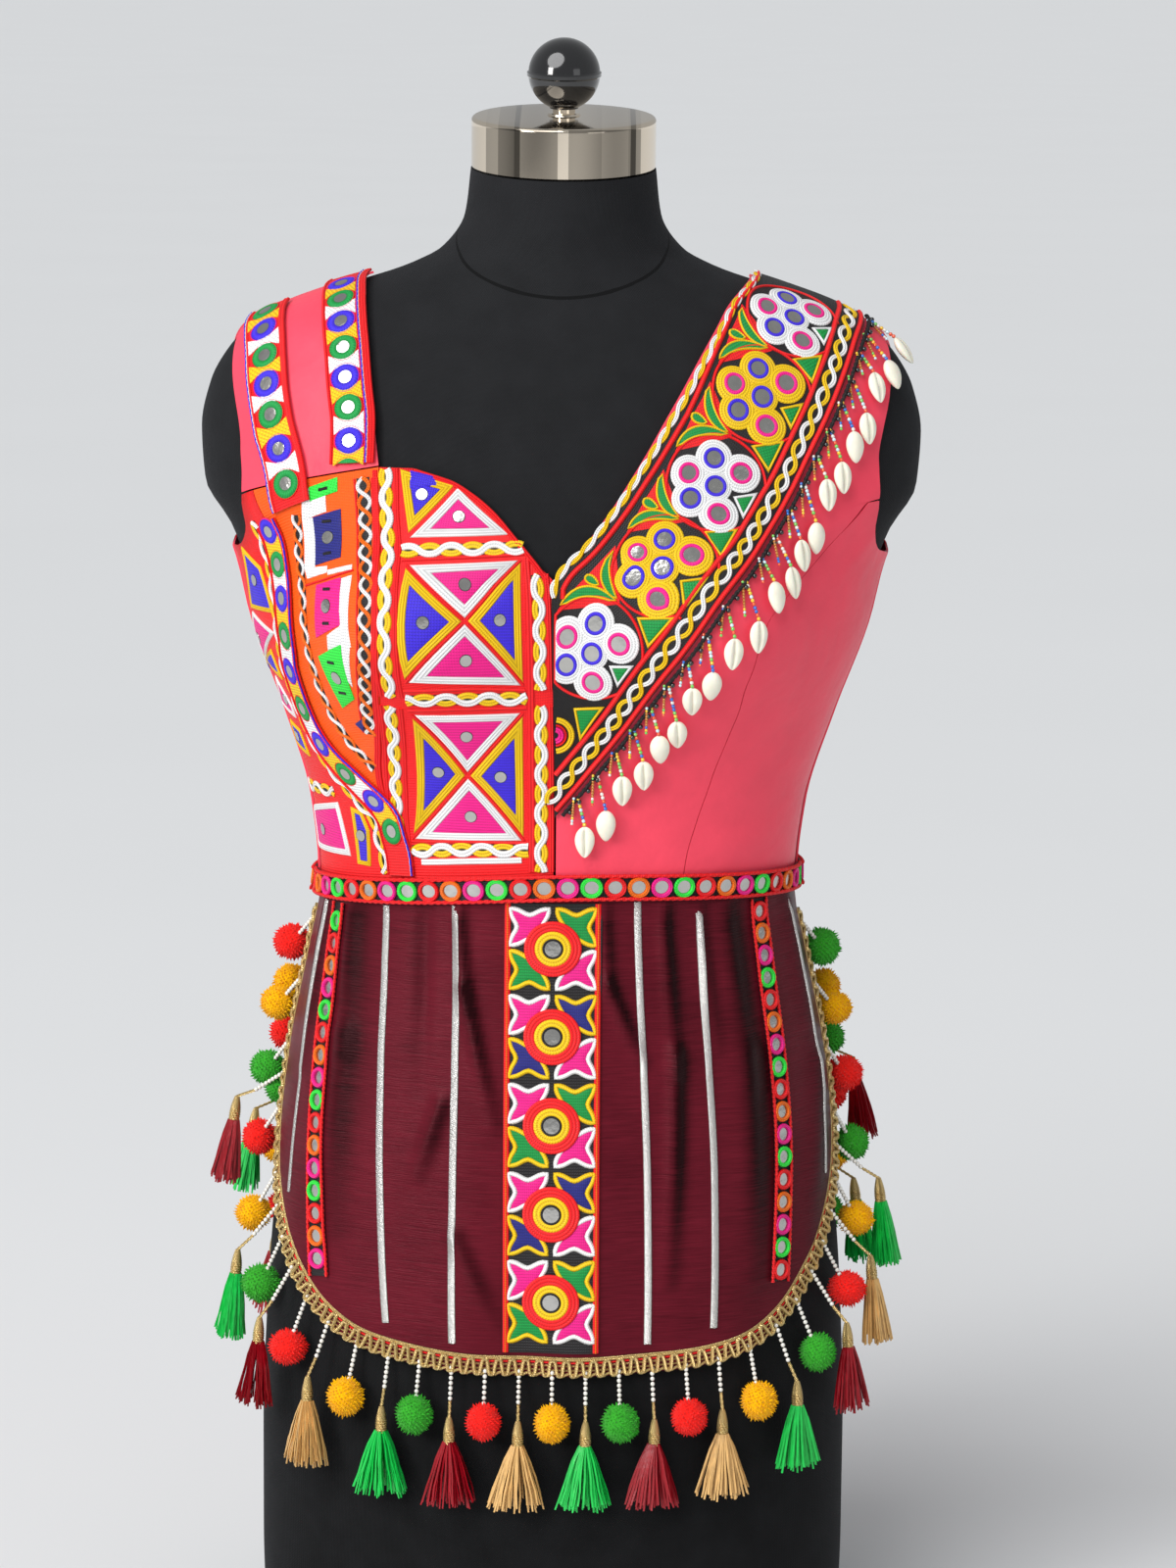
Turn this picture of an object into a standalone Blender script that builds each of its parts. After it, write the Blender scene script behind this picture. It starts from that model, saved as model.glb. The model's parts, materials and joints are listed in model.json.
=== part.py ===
"""A choli blouse on a limbless dress form.

The blouse is a sleeveless bodice of satin and pieced embroidery with a heart-shaped neck, a
slanting embroidered border with a cowrie fringe, a mirror-work waistband, and a peplum of two
rounded flaps, front and back, edged with gold gimp that carries pompoms and tassels.

Frame: metres, +Z up. The origin is the middle of the form's flat foot, the front faces -Y, and
+X is the viewer's right, which is the wearer's left. Node names use the wearer's sides.

Every piece of cloth is worked out on one chart of the form. A place on it is a bearing, in
degrees from centre front and positive towards +X, and a level in millimetres. Up to CENTRE a
level is a height. Above it the level climbs over the shoulders: each DOME millimetres turn the
ray from the middle of the chest upwards by one radian. A piece is a grid of such places, moved
out from the form by its clearance, and again by its thickness.
"""
import math

import bpy
import numpy as np

MM = 0.001

# ------------------------------------------------------------------ driving dimensions (mm)
# The dress form, ring by ring: half width, depth to the front, depth to the back, and the
# power of the superellipse (2 is an ellipse, lower is sharper at the sides).
FORM_RINGS = (
    # height, half_width, front, back, power
    (0,   158, 110, 122, 2.2),
    (60,  160, 112, 126, 2.2),
    (120, 160, 114, 130, 2.2),
    (200, 157, 113, 130, 2.2),
    (280, 150, 108, 119, 2.15),
    (340, 142, 101, 104, 2.1),
    (390, 132,  94,  94, 2.1),
    (430, 125,  91,  90, 2.1),
    (470, 129,  93,  92, 2.1),
    (520, 144, 100,  97, 2.15),
    (570, 162, 106, 103, 2.2),
    (600, 169, 107, 106, 2.15),
    (618, 176, 105, 106, 2.1),
    (642, 190, 101, 104, 2.05),
    (670, 192,  94, 100, 2.0),
    (694, 187,  86,  95, 1.98),
    (712, 177,  77,  88, 1.93),
    (724, 165,  70,  82, 1.88),
    (736, 142,  63,  76, 1.82),
    (746, 114,  57,  69, 1.8),
    (755,  86,  53,  62, 1.82),
    (766,  64,  51,  56, 1.9),
    (784,  52,  49,  52, 2.0),
    (808,  49,  48,  49, 2.0),
)
BUST_REACH, BUST_HEIGHT = 80.0, 572.0          # each cup's middle: from centre, and up
BUST_SWELL, BUST_WIDE, BUST_TALL = 27.0, 46.0, 50.0
CENTRE = 600.0                                 # where the chart starts to turn upwards
DOME = 150.0                                   # level for one radian of turn
NECK_TILT = math.radians(6)                    # the neck's top leans forward
NECK_TILT_START, NECK_TOP = 772.0, 808.0
FORM_SIDES = 28
# Heights of the mesh's rings, closer together where the form curves most.
FORM_LEVELS = (0, 70, 140, 200, 250, 300, 345, 385, 415, 445, 475, 505, 532, 554, 574, 594, 613, 634,
               654, 674, 692, 707, 719, 730, 740, 750, 762, 778, NECK_TOP)

CAP_RADIUS, CAP_TALL, CAP_ROUND = 48.8, 27.0, 3.0
STEM_RADIUS, STEM_TALL = 6.0, 4.0
KNOB_RADIUS = 19.0
KNOB_RIDGE = 0.7

AIR = 0.3                                      # between faces that touch on the real thing
CLEAR = 2.1                                    # from the form to the cloth
BACK_EASE = 1.7                                # the backs lie a little looser
SHOULDER_CLEAR = 1.1                           # where the straps carry the blouse
CLOTH = 1.2                                    # thickness of satin and lined embroidery
SEAM = 0.25                                    # each panel stops this far short of its seam
LIFT = 1.2                                     # from a curved bodice panel to what lies on it
FLAP_LIFT = 0.85                               # and from a flap to its braids
TRIM = 1.2                                     # thickness of ribbon and border

WAIST, WAIST_RISE, WAIST_LEAN = 433.0, 12.5, 3.0
BAND_TALL = 13.7                               # the waistband
BAND_OVERLAP = 6.8                             # how much of it lies on the bodice

# Seams and edges as places on the chart.
CUP_SEAM = (                                   # between the two panels of the right cup
    # bearing, level
    (-50.2, 474), (-50.4, 486), (-49.9, 495), (-47.3, 511), (-42.9, 535), (-39.2, 560),
    (-38.2, 578), (-39.6, 598), (-42.0, 620), (-44.6, 643), (-47.0, 664),
)
PRINCESS_RIGHT = (
    (-47.6, 430), (-47.8, 447), (-49.4, 464), (-50.6, 474), (-53.6, 481), (-59.9, 494),
    (-65.3, 508), (-67.6, 527), (-67.2, 547), (-65.3, 567), (-65.1, 586), (-65.9, 604),
    (-67.6, 620), (-70.2, 634),
)
PRINCESS_LEFT = (
    (39.0, 430), (39.5, 447), (42.4, 476), (44.2, 505), (44.0, 530), (42.6, 552),
    (43.4, 574), (51.2, 593), (62.0, 613), (70.6, 635),
)
ARMHOLE = (                                    # half of it, from the side seam to the shoulder
    # bearing, level
    (90.0, 606), (80.0, 609), (75.2, 617), (72.6, 634), (73.6, 654), (77.8, 672), (83.8, 686),
    (90.0, 697),
)
ARM_LOW, ARM_HIGH = 0.409, 0.4135              # shares of the armhole, either side of the seam
SWEETHEART = (                                 # the right cup's upper edge, from the V
    (-0.9, 600), (-3.6, 605), (-7.4, 616.5), (-12.8, 632.5), (-19.2, 649.5), (-24.6, 658.8),
    (-30.8, 665.2), (-39.5, 667.6),
)
NECK_LEFT = (                                  # from the V to the left shoulder
    (0.4, 600), (1.4, 608), (3.2, 615.4), (6.0, 623.0), (9.8, 636.6), (15.4, 654.5), (21.9, 675.5),
    (35.2, 709.6), (51.6, 734.4), (66.0, 745.2), (90.0, 749),
)
NECK_RIGHT = (                                 # the right strap's neck edge, to the shoulder
    (-47.0, 664), (-49.7, 681), (-53.8, 700), (-59.9, 718), (-69.3, 734), (-90.0, 746),
)
NECK_BACK = (                                  # half of it, from centre back to a shoulder
    (180.0, 675), (158.0, 682), (138.0, 700), (122.0, 719), (106.0, 738), (90.0, 748),
)
ARMHOLE_BACK = (
    (90.0, 606), (98.5, 610), (103.5, 622), (105.0, 642), (103.0, 664), (97.0, 683),
    (90.0, 697),
)
HEM_FRONT = (                                  # half of the flap's edge, waist to middle
    # bearing, level
    (84.0, 426), (83.0, 385), (82.2, 345), (80.5, 310), (77.0, 280), (70.5, 252), (62.5, 227),
    (54.5, 209), (45.0, 198), (30.0, 193), (15.0, 191.3), (0.0, 191),
)
HEM_BACK = (
    (101.0, 426), (109.0, 385), (113.0, 345), (115.0, 310), (116.5, 280), (120.0, 252),
    (125.0, 227), (130.5, 209), (138.5, 198), (151.0, 193), (165.0, 191.3), (180.0, 191),
)
BORDER_OUTER = (                               # the slanting border's outer edge, from its foot
    (-0.9, 476.4), (8.9, 498), (19.2, 525), (27.6, 560), (35.4, 590), (46.3, 616.6), (55.4, 643.5),
    (63.4, 668.5), (71.4, 686.6), (80.0, 698), (90.0, 703),
)
BORDER_INNER = (                               # its inner edge, just inside the neck edge
    (-0.9, 503), (-1.7, 560), (-2.1, 598), (-0.2, 608.5), (2.3, 616), (5.8, 624), (10.4, 637),
    (16.2, 655), (22.6, 675), (36.2, 708.5), (52.2, 733), (66.0, 743.6), (90.0, 747.3),
)

# Ribbons and braids sewn on the panels: centre line, width.
STRAP_RIBBON_OUTER = ((-62.4, 633.5), (-64.6, 650), (-68.3, 667), (-72.6, 683), (-78.8, 696.5),
                      (-88.4, 706))
STRAP_RIBBON_INNER = ((-52.2, 661), (-54.2, 681), (-58.3, 699.3), (-65.0, 717), (-74.5, 730),
                      (-88.8, 738.7))
STRAP_RIBBON_WIDE = 24.4
PRINCESS_RIBBON_WIDE = 15.5
CENTRE_STRIP_WIDE = 50.0
RING_RIBBON_WIDE = 12.0
GOTA_WIDE, GOTA_THIN = 3.8, 2.2
BRAID_START = 1.5                              # below the waistband
PEPLUM_BRAIDS = (                              # front flap
    # name, width, bearing at the waist, bearing at mid height, bearing at the foot, foot level
    ("gota_braid_1", GOTA_WIDE, -52.7, -47.0, -41.6, 204),
    ("gota_braid_2", GOTA_WIDE, -31.8, -27.6, -25.4, 197),
    ("gota_braid_3", GOTA_WIDE, 25.8, 25.3, 24.3, 197),
    ("gota_braid_4", GOTA_WIDE, 44.0, 42.3, 39.6, 204),
    ("gota_braid_thin_right", GOTA_THIN, -74.6, -72.2, -69.6, 262),
    ("gota_braid_thin_left", GOTA_THIN, 75.4, 76.0, 73.0, 273),
    ("ring_ribbon_right", RING_RIBBON_WIDE, -68.6, -64.0, -57.6, 223),
    ("ring_ribbon_left", RING_RIBBON_WIDE, 63.0, 61.3, 56.0, 223),
    ("centre_strip", CENTRE_STRIP_WIDE, -1.0, -0.8, -0.5, 193),
)

PEPLUM_CLEAR = 3.2                             # the flaps hang a little off the form
FLAP_STRAIGHT = 3.0                            # below the waistband, before the folds start
FOLD_DEEP = 3.2                                # half the depth of the flap's soft folds
FOLDS = 5                                      # across each flap
BAND_SHARE = 0.06                              # of a flap's rows, straight under the band
FLAP_CORNER = 0.66                             # where along half the edge a side turns into the hem

FLAP_ROWS, FLAP_COLUMNS = 9, 20

GIMP_WIDE, GIMP_THICK = 12.0, 1.8
PITCH = 17.2                                   # from a pompom to the tassel beside it
FIRST_DROP = 6.0                               # along the edge from the waist to the first
STRING_RADIUS = 1.2
POM_STRING, POM_RADIUS = 12.0, 10.5
POM_STAND = 12.0                               # its centre, out from the form
TASSEL_CORD = 25.0                             # pearl string and gold cord
TASSEL_HEAD, TASSEL_HEAD_RADIUS = 10.0, 4.6
TASSEL_SKIRT, TASSEL_FLARE = 36.0, 12.0
TASSEL_STAND = 10.0
TASSEL_OVER = 17.0                             # how much further out on the steep sides
FAN = math.radians(31)                         # how far a pendant leans out on the steep sides

STEEP = 0.86                                   # past this, every second tassel is left out
TASSELS_BELOW = 350.0                          # and above this level all of them
POM_SIDES, TASSEL_SIDES = 6, 5

COWRIES = 21
COWRIE_SIDES = 5
COWRIE_LEAN = 0.35                             # outward for each downward
COWRIE_LONG, COWRIE_WIDE, COWRIE_DEEP = 17.0, 10.5, 7.0
COWRIE_CORD_WIDE, COWRIE_CORD_THICK = 3.0, 1.6
COWRIE_STRING = (16.0, 20.0, 13.0, 18.0)       # lengths, in turn


# ------------------------------------------------------------------ the form and its chart
def smooth(knots, values):
    """A curve through the knots that never overshoots them (monotone cubic)."""
    x = np.asarray(knots, float)
    y = np.asarray(values, float)
    step = np.diff(x)
    slope = np.diff(y) / step
    tangent = np.zeros_like(y)
    before, after = slope[:-1], slope[1:]
    same = before * after > 0
    weight_a = (2 * step[1:] + step[:-1])[same]
    weight_b = (step[1:] + 2 * step[:-1])[same]
    inner = np.zeros(len(same))
    inner[same] = (weight_a + weight_b) / (weight_a / before[same] + weight_b / after[same])
    tangent[1:-1] = inner
    tangent[0], tangent[-1] = slope[0], slope[-1]

    def curve(at):
        at = np.clip(at, x[0], x[-1])
        k = np.clip(np.searchsorted(x, at, side="right") - 1, 0, len(step) - 1)
        t = (at - x[k]) / step[k]
        return ((1 + 2 * t) * (1 - t) ** 2 * y[k] + t * (1 - t) ** 2 * step[k] * tangent[k]
                + t * t * (3 - 2 * t) * y[k + 1] + t * t * (t - 1) * step[k] * tangent[k + 1])
    return curve


RING_TABLE = np.array(FORM_RINGS, float)
RING_CURVES = [smooth(RING_TABLE[:, 0], RING_TABLE[:, k]) for k in range(1, 5)]


def form_radius(bearing, height):
    """Distance from the vertical axis to the form: a superellipse with two round cups."""
    half_width, front, back, power = (curve(height) for curve in RING_CURVES)
    across, ahead = np.sin(bearing), np.cos(bearing)
    depth = np.where(ahead > 0, front, back)
    radius = ((np.abs(across) / half_width) ** power
              + (np.abs(ahead) / depth) ** power) ** (-1 / power)
    reach = radius * across
    for side in (-1, 1):
        away = (((reach - side * BUST_REACH) / BUST_WIDE) ** 2
                + ((height - BUST_HEIGHT) / BUST_TALL) ** 2)
        radius = radius + BUST_SWELL * np.clip(ahead, 0, 1) ** 0.6 * np.exp(-away)
    return radius


def on_skin(bearing_degrees, level):
    """The point of the form at a place of the chart, found by halving along its ray."""
    bearing, level = np.broadcast_arrays(np.radians(bearing_degrees), np.asarray(level, float))
    turn = np.clip((level - CENTRE) / DOME, 0, 1.45)
    out, up = np.cos(turn), np.sin(turn)
    base = np.minimum(level, CENTRE)
    near = np.zeros(turn.shape)
    far = np.full(turn.shape, 320.0)
    for _ in range(36):
        middle = (near + far) / 2
        height = base + middle * up
        inside = (middle * out < form_radius(bearing, height)) & (height < NECK_TOP)
        near = np.where(inside, middle, near)
        far = np.where(inside, far, middle)
    ray = (near + far) / 2
    return np.stack([ray * out * np.sin(bearing), -ray * out * np.cos(bearing),
                     base + ray * up], axis=-1)


def chart_steps(bearing, level):
    """How the point moves for one degree of bearing and for one millimetre of level."""
    by_degree = (on_skin(bearing + 0.25, level) - on_skin(bearing - 0.25, level)) / 0.5
    by_level = on_skin(bearing, level + 0.6) - on_skin(bearing, level - 0.6)
    return by_degree, by_level / 1.2


def skin_normal(bearing, level):
    by_degree, by_level = chart_steps(bearing, level)
    normal = np.cross(by_degree, by_level)
    return normal / np.linalg.norm(normal, axis=-1, keepdims=True)


def place(bearing, level, stand):
    """A point that stands off the form by so many millimetres."""
    return on_skin(bearing, level) + np.asarray(stand)[..., None] * skin_normal(bearing, level)


def clearance(bearing, level):
    """Cloth lies closest to the form over the shoulders, which carry it."""
    high = np.clip((np.asarray(level) - 672) / 30, 0, 1)
    return CLEAR + (SHOULDER_CLEAR - CLEAR) * high * high * (3 - 2 * high)


def back_clearance(bearing, level):
    """The backs are cut a little looser than the fronts."""
    return clearance(bearing, level) + BACK_EASE * np.clip((720 - np.asarray(level)) / 60, 0, 1)


def waist(bearing):
    """Height of the waistband's upper edge: it rises at the front."""
    turn = np.radians(bearing)
    return WAIST + WAIST_RISE * np.clip(np.cos(turn), 0, 1) + WAIST_LEAN * np.sin(turn)


def flap_stand(bearing, level):
    """Clearance of a peplum flap: soft folds that deepen towards the hem."""
    drop = np.clip((waist(bearing) - BAND_TALL - FLAP_STRAIGHT - level) / 220, 0, 1)
    wave = np.sin(np.radians(bearing) * FOLDS * 2 + 0.9 * np.sin(np.radians(bearing * 3)))
    return CLEAR + (PEPLUM_CLEAR - CLEAR) * drop + FOLD_DEEP * drop * (1 + wave) / 2


# ------------------------------------------------------------------ lines on the chart
def line(table, count=None, fractions=None):
    """Places along a table of (bearing, level), evenly spaced or at the given fractions."""
    knots = np.array(table, float)
    steps = np.hypot(np.diff(knots[:, 0]) * 2.3, np.diff(knots[:, 1]))
    travelled = np.concatenate([[0], np.cumsum(steps)])
    if fractions is None:
        fractions = np.linspace(0, 1, count)
    at = np.asarray(fractions) * travelled[-1]
    return np.stack([smooth(travelled, knots[:, k])(at) for k in (0, 1)], axis=-1)


def at_levels(table, levels):
    """Places where a seam crosses the levels."""
    knots = np.array(table, float)
    return np.stack([smooth(knots[:, 1], knots[:, 0])(np.asarray(levels, float)),
                     np.asarray(levels, float)], axis=-1)


def mirrored(places):
    """The same line on the other side of the body."""
    return np.asarray(places, float) * (-1, 1)


def beside(places, distance):
    """The places moved sideways over the form, to the left of the direction of travel."""
    bearing, level = places[:, 0], places[:, 1]
    by_degree, by_level = chart_steps(bearing, level)
    points = on_skin(bearing, level)
    travel = np.gradient(points, axis=0)
    side = np.cross(np.cross(by_degree, by_level), travel)
    side *= (np.asarray(distance) / np.linalg.norm(side, axis=-1))[..., None]
    return places + chart_move(by_degree, by_level, side)


def chart_move(by_degree, by_level, move):
    """The change of place that gives a small move over the surface (least squares)."""
    a = np.sum(by_degree * by_degree, -1)
    b = np.sum(by_degree * by_level, -1)
    c = np.sum(by_level * by_level, -1)
    p = np.sum(by_degree * move, -1)
    q = np.sum(by_level * move, -1)
    bottom = a * c - b * b
    return np.stack([(c * p - b * q) / bottom, (a * q - b * p) / bottom], axis=-1)


# ------------------------------------------------------------------ meshes
def new_object(name, colour, roughness, metallic=0.0):
    mesh = bpy.data.meshes.new(name)
    item = bpy.data.objects.new(name, mesh)
    PARTS.objects.link(item)
    material = bpy.data.materials.new(name)
    material.use_nodes = True
    shader = material.node_tree.nodes["Principled BSDF"]
    shader.inputs["Base Color"].default_value = (*colour, 1)
    shader.inputs["Roughness"].default_value = roughness
    shader.inputs["Metallic"].default_value = metallic
    mesh.materials.append(material)
    return item


def fill_mesh(item, points, faces):
    item.data.from_pydata((np.asarray(points) * MM).tolist(), [], faces)
    item.data.update()
    item.data.shade_smooth()
    return item


def pull_in(grid, distance):
    """Moves the rim of a grid of points inwards, so that a seam keeps its gap."""
    grid = grid.copy()
    for edge, inner in ((np.s_[:, 0], np.s_[:, 1]), (np.s_[:, -1], np.s_[:, -2]),
                        (np.s_[0], np.s_[1]), (np.s_[-1], np.s_[-2])):
        inward = grid[inner] - grid[edge]
        length = np.linalg.norm(inward, axis=-1, keepdims=True)
        grid[edge] += inward / length * np.minimum(distance, length * 0.4)
    return grid


def wall(item, inner, outer):
    """A closed wall between two grids of points; columns run to the right, rows upwards."""
    rows, columns = inner.shape[:2]
    count = rows * columns
    index = np.arange(count).reshape(rows, columns)
    quads = np.stack([index[:-1, :-1], index[:-1, 1:], index[1:, 1:], index[1:, :-1]], -1)
    faces = (quads.reshape(-1, 4) + count).tolist() + quads[..., ::-1].reshape(-1, 4).tolist()
    rim = np.concatenate([index[0, :-1], index[:-1, -1], index[-1, :0:-1], index[:0:-1, 0]])
    after = np.roll(rim, -1)
    faces += np.stack([rim, after, after + count, rim + count], -1).tolist()
    fill_mesh(item, np.concatenate([inner.reshape(-1, 3), outer.reshape(-1, 3)]), faces)
    item.data.set_sharp_from_angle(angle=math.radians(50))
    return item


def sheet(item, left, right, columns, stand=clearance, thick=CLOTH):
    """Cloth between two edges of the chart, row by row, as a closed wall."""
    across = np.linspace(0, 1, columns + 1)[None, :, None]
    return sheet_of(item, left[:, None] * (1 - across) + right[:, None] * across, stand, thick)


def sheet_of(item, places, stand=clearance, thick=CLOTH):
    """Cloth over a grid of places, as a closed wall."""
    bearing, level = places[..., 0], places[..., 1]
    base = stand(bearing, level)
    inner = pull_in(place(bearing, level, base), SEAM)
    outer = pull_in(place(bearing, level, base + thick), SEAM)
    return wall(item, inner, outer)


def band(item, centre, width, columns=1, **how):
    """A ribbon of even width along a line of the chart."""
    left = beside(centre, width / 2)
    right = beside(centre, -width / 2)
    return sheet(item, left, right, columns, **how)


def stand_on(stand, under=CLOTH + LIFT):
    """Where a trim lies: over a panel that stands off the form in the given way."""
    return lambda bearing, level: stand(bearing, level) + under


# ------------------------------------------------------------------ the dress form
def make_form():
    item = new_object("form_torso", (0.02, 0.02, 0.022), 0.9)
    bearings = np.linspace(-np.pi, np.pi, FORM_SIDES, endpoint=False)
    turn, height = np.meshgrid(bearings, np.array(FORM_LEVELS, float))
    radius = form_radius(turn, height)
    points = np.stack([radius * np.sin(turn), -radius * np.cos(turn), height], -1)
    lean = np.clip((height - NECK_TILT_START) / (NECK_TOP - NECK_TILT_START), 0, 1)
    points[..., 2] += math.tan(NECK_TILT) * points[..., 1] * lean
    rows, columns = turn.shape
    index = np.arange(rows * columns).reshape(rows, columns)
    after = np.roll(index, -1, axis=1)
    faces = np.stack([index[:-1], after[:-1], after[1:], index[1:]], -1).reshape(-1, 4).tolist()
    faces.append(index[0, ::-1].tolist())
    faces.append(index[-1].tolist())
    fill_mesh(item, points.reshape(-1, 3), faces)
    item.data.set_sharp_from_angle(angle=math.radians(60))


def turned(item, profile, sides):
    """A turned shape: a profile of (radius, height) from top to bottom, with a Screw modifier."""
    points = [(radius, 0, height) for radius, height in profile]
    item.data.from_pydata((np.array(points, float) * MM).tolist(),
                          [(k, k + 1) for k in range(len(points) - 1)], [])
    screw = item.modifiers.new("Turn", "SCREW")
    screw.axis = "Z"
    screw.angle = math.tau
    screw.steps = screw.render_steps = sides
    screw.use_merge_vertices = True
    screw.merge_threshold = 0.00001
    item.rotation_euler = (NECK_TILT, 0, 0)


def make_cap():
    item = new_object("form_neck_cap", (0.75, 0.75, 0.76), 0.12, 1.0)
    low = AIR
    high = low + CAP_TALL
    corner = CAP_RADIUS - CAP_ROUND * 0.3
    turned(item, ((0, high + STEM_TALL), (STEM_RADIUS, high + STEM_TALL), (STEM_RADIUS, high),
                  (CAP_RADIUS - CAP_ROUND, high), (corner, high - CAP_ROUND * 0.3),
                  (CAP_RADIUS, high - CAP_ROUND), (CAP_RADIUS, low), (0, low)), 26)
    item.location = (0, 0, NECK_TOP * MM)


def make_knob():
    item = new_object("form_knob", (0.01, 0.01, 0.01), 0.15)
    low = AIR + CAP_TALL + STEM_TALL + AIR
    middle = low + KNOB_RADIUS - 1.0
    profile = [(0, middle + KNOB_RADIUS)]
    for degrees in (62, 38, 16):
        angle = math.radians(degrees)
        profile.append((KNOB_RADIUS * math.cos(angle), middle + KNOB_RADIUS * math.sin(angle)))
    profile.append((KNOB_RADIUS + KNOB_RIDGE, middle + 0.8))
    profile.append((KNOB_RADIUS + KNOB_RIDGE, middle - 0.8))
    for degrees in (-20, -48):
        angle = math.radians(degrees)
        profile.append((KNOB_RADIUS * math.cos(angle), middle + KNOB_RADIUS * math.sin(angle)))
    profile += [(STEM_RADIUS + 1, low), (0, low)]
    turned(item, profile, 16)
    item.location = (0, 0, NECK_TOP * MM)


# ------------------------------------------------------------------ the bodice
PINK = (0.80, 0.13, 0.18)
RED = (0.62, 0.03, 0.05)
ORANGE = (0.80, 0.20, 0.03)
BLACK = (0.02, 0.02, 0.02)
MAROON = (0.09, 0.012, 0.02)
GOLD = (0.52, 0.38, 0.20)
SILVER = (0.70, 0.68, 0.64)

LOW_LEVELS = (474, 486, 498, 511, 524, 537, 550, 563, 576, 589, 602, 615, 627)
CUP_TIP = (-50.7, 474.6)                       # the foot of the orange wedge
STRAP_FOOT = 636.6                             # level where strap, cup and side front meet


def bodice_foot(bearing):
    return waist(bearing) - BAND_OVERLAP + AIR


def make_right_front():
    """The embroidered side: strap, cup centre, orange cup side and side front."""
    foot = bodice_foot(-47.6)
    shared = np.array([*LOW_LEVELS, 639, 652, 663.5])
    below = np.array([foot, 447, 460])
    cup_edge = np.concatenate([at_levels(PRINCESS_RIGHT, below), at_levels(CUP_SEAM, shared)])
    middle_levels = np.linspace(bodice_foot(-1), 600, 14)
    middle = np.stack([np.full(14, -0.9), middle_levels], -1)
    neckline = line(SWEETHEART, 6)[1:]
    centre = np.concatenate([middle, neckline])
    item = new_object("cup_centre_panel_right", RED, 0.8)
    sheet(item, cup_edge, centre, 8)

    item = new_object("cup_side_panel_right", ORANGE, 0.8)
    outer = at_levels(PRINCESS_RIGHT, (482, 492, 503, 516, *LOW_LEVELS[5:], STRAP_FOOT))
    inner = at_levels(CUP_SEAM, (475.6, 486, 495, 503, 513, 525, 537, 550, 563, 576, 589, 602, 615,
                                 663.6))
    sheet(item, np.concatenate([[CUP_TIP], outer]), inner, 4)

    item = new_object("side_front_right", RED, 0.8)
    seam_levels = np.array([foot, 447, 460, 474, 482, 492, 503, 516, *LOW_LEVELS[5:], STRAP_FOOT])
    seam = at_levels(PRINCESS_RIGHT, seam_levels)
    side = np.stack([np.full(13, -89.9), np.linspace(bodice_foot(-89.9), 605.5, 13)], -1)
    arm = mirrored(line(ARMHOLE, fractions=np.linspace(0, ARM_LOW, len(seam) - 13 + 1)))[1:]
    sheet(item, np.concatenate([side, arm]), seam, 5)

    item = new_object("shoulder_strap_right", PINK, 0.45)
    rows = 13
    arm = mirrored(line(ARMHOLE, fractions=np.linspace(ARM_HIGH, 0.998, rows)))
    sheet(item, arm, line(NECK_RIGHT, fractions=np.linspace(0, 0.999, rows)), 5)


def make_left_front():
    """The satin side, with its princess seam."""
    seam_levels = np.array([bodice_foot(39), 455, 474, 494, 514, 532, 550, 566, 580, 594, 608,
                            622, 634.5])
    seam = at_levels(PRINCESS_LEFT, seam_levels)
    middle = np.stack([np.full(11, -0.4), np.linspace(bodice_foot(0), 598.5, 11)], -1)
    strap_rows = 12
    neck = line(NECK_LEFT, fractions=np.linspace(0, 0.999, strap_rows + 2))
    arm = line(ARMHOLE, fractions=np.linspace(ARM_HIGH, 0.998, strap_rows))
    item = new_object("front_left", PINK, 0.45)
    sheet(item, np.concatenate([middle, neck]), np.concatenate([seam, arm]), 7)

    item = new_object("side_front_left", PINK, 0.45)
    side = np.stack([np.full(9, 89.9), np.linspace(bodice_foot(89.9), 605.5, 9)], -1)
    arm = line(ARMHOLE, fractions=np.linspace(0, ARM_LOW, 5))[1:]
    seam = np.concatenate([seam[:-1], at_levels(PRINCESS_LEFT, [634])])
    sheet(item, seam, np.concatenate([side, arm]), 6)


def make_backs():
    """Two plain satin backs, each cut in one with its strap, and a seam at centre back."""
    for name, side in (("back_right", -1), ("back_left", 1)):
        low_rows, high_rows = 7, 11
        seam = np.stack([np.full(low_rows, 90.1), np.linspace(bodice_foot(side * 90.1), 605, low_rows)], -1)
        arm = line(ARMHOLE_BACK, fractions=np.linspace(0, 0.998, high_rows + 1))[1:]
        arm[:, 0] = np.maximum(arm[:, 0], 90.1)
        outer = np.concatenate([seam, arm])
        middle = np.stack([np.full(low_rows + 1, 179.9),
                           np.linspace(bodice_foot(side * 179.9), 675, low_rows + 1)], -1)
        neck = line(NECK_BACK, fractions=np.linspace(0, 0.999, high_rows))[1:]
        neck[:, 0] = np.maximum(neck[:, 0], 90.1)
        inner = np.concatenate([middle, neck])
        item = new_object(name, PINK, 0.45)
        if side > 0:
            sheet(item, outer, inner, 7, stand=back_clearance)
        else:
            sheet(item, mirrored(inner), mirrored(outer), 7, stand=back_clearance)


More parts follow.
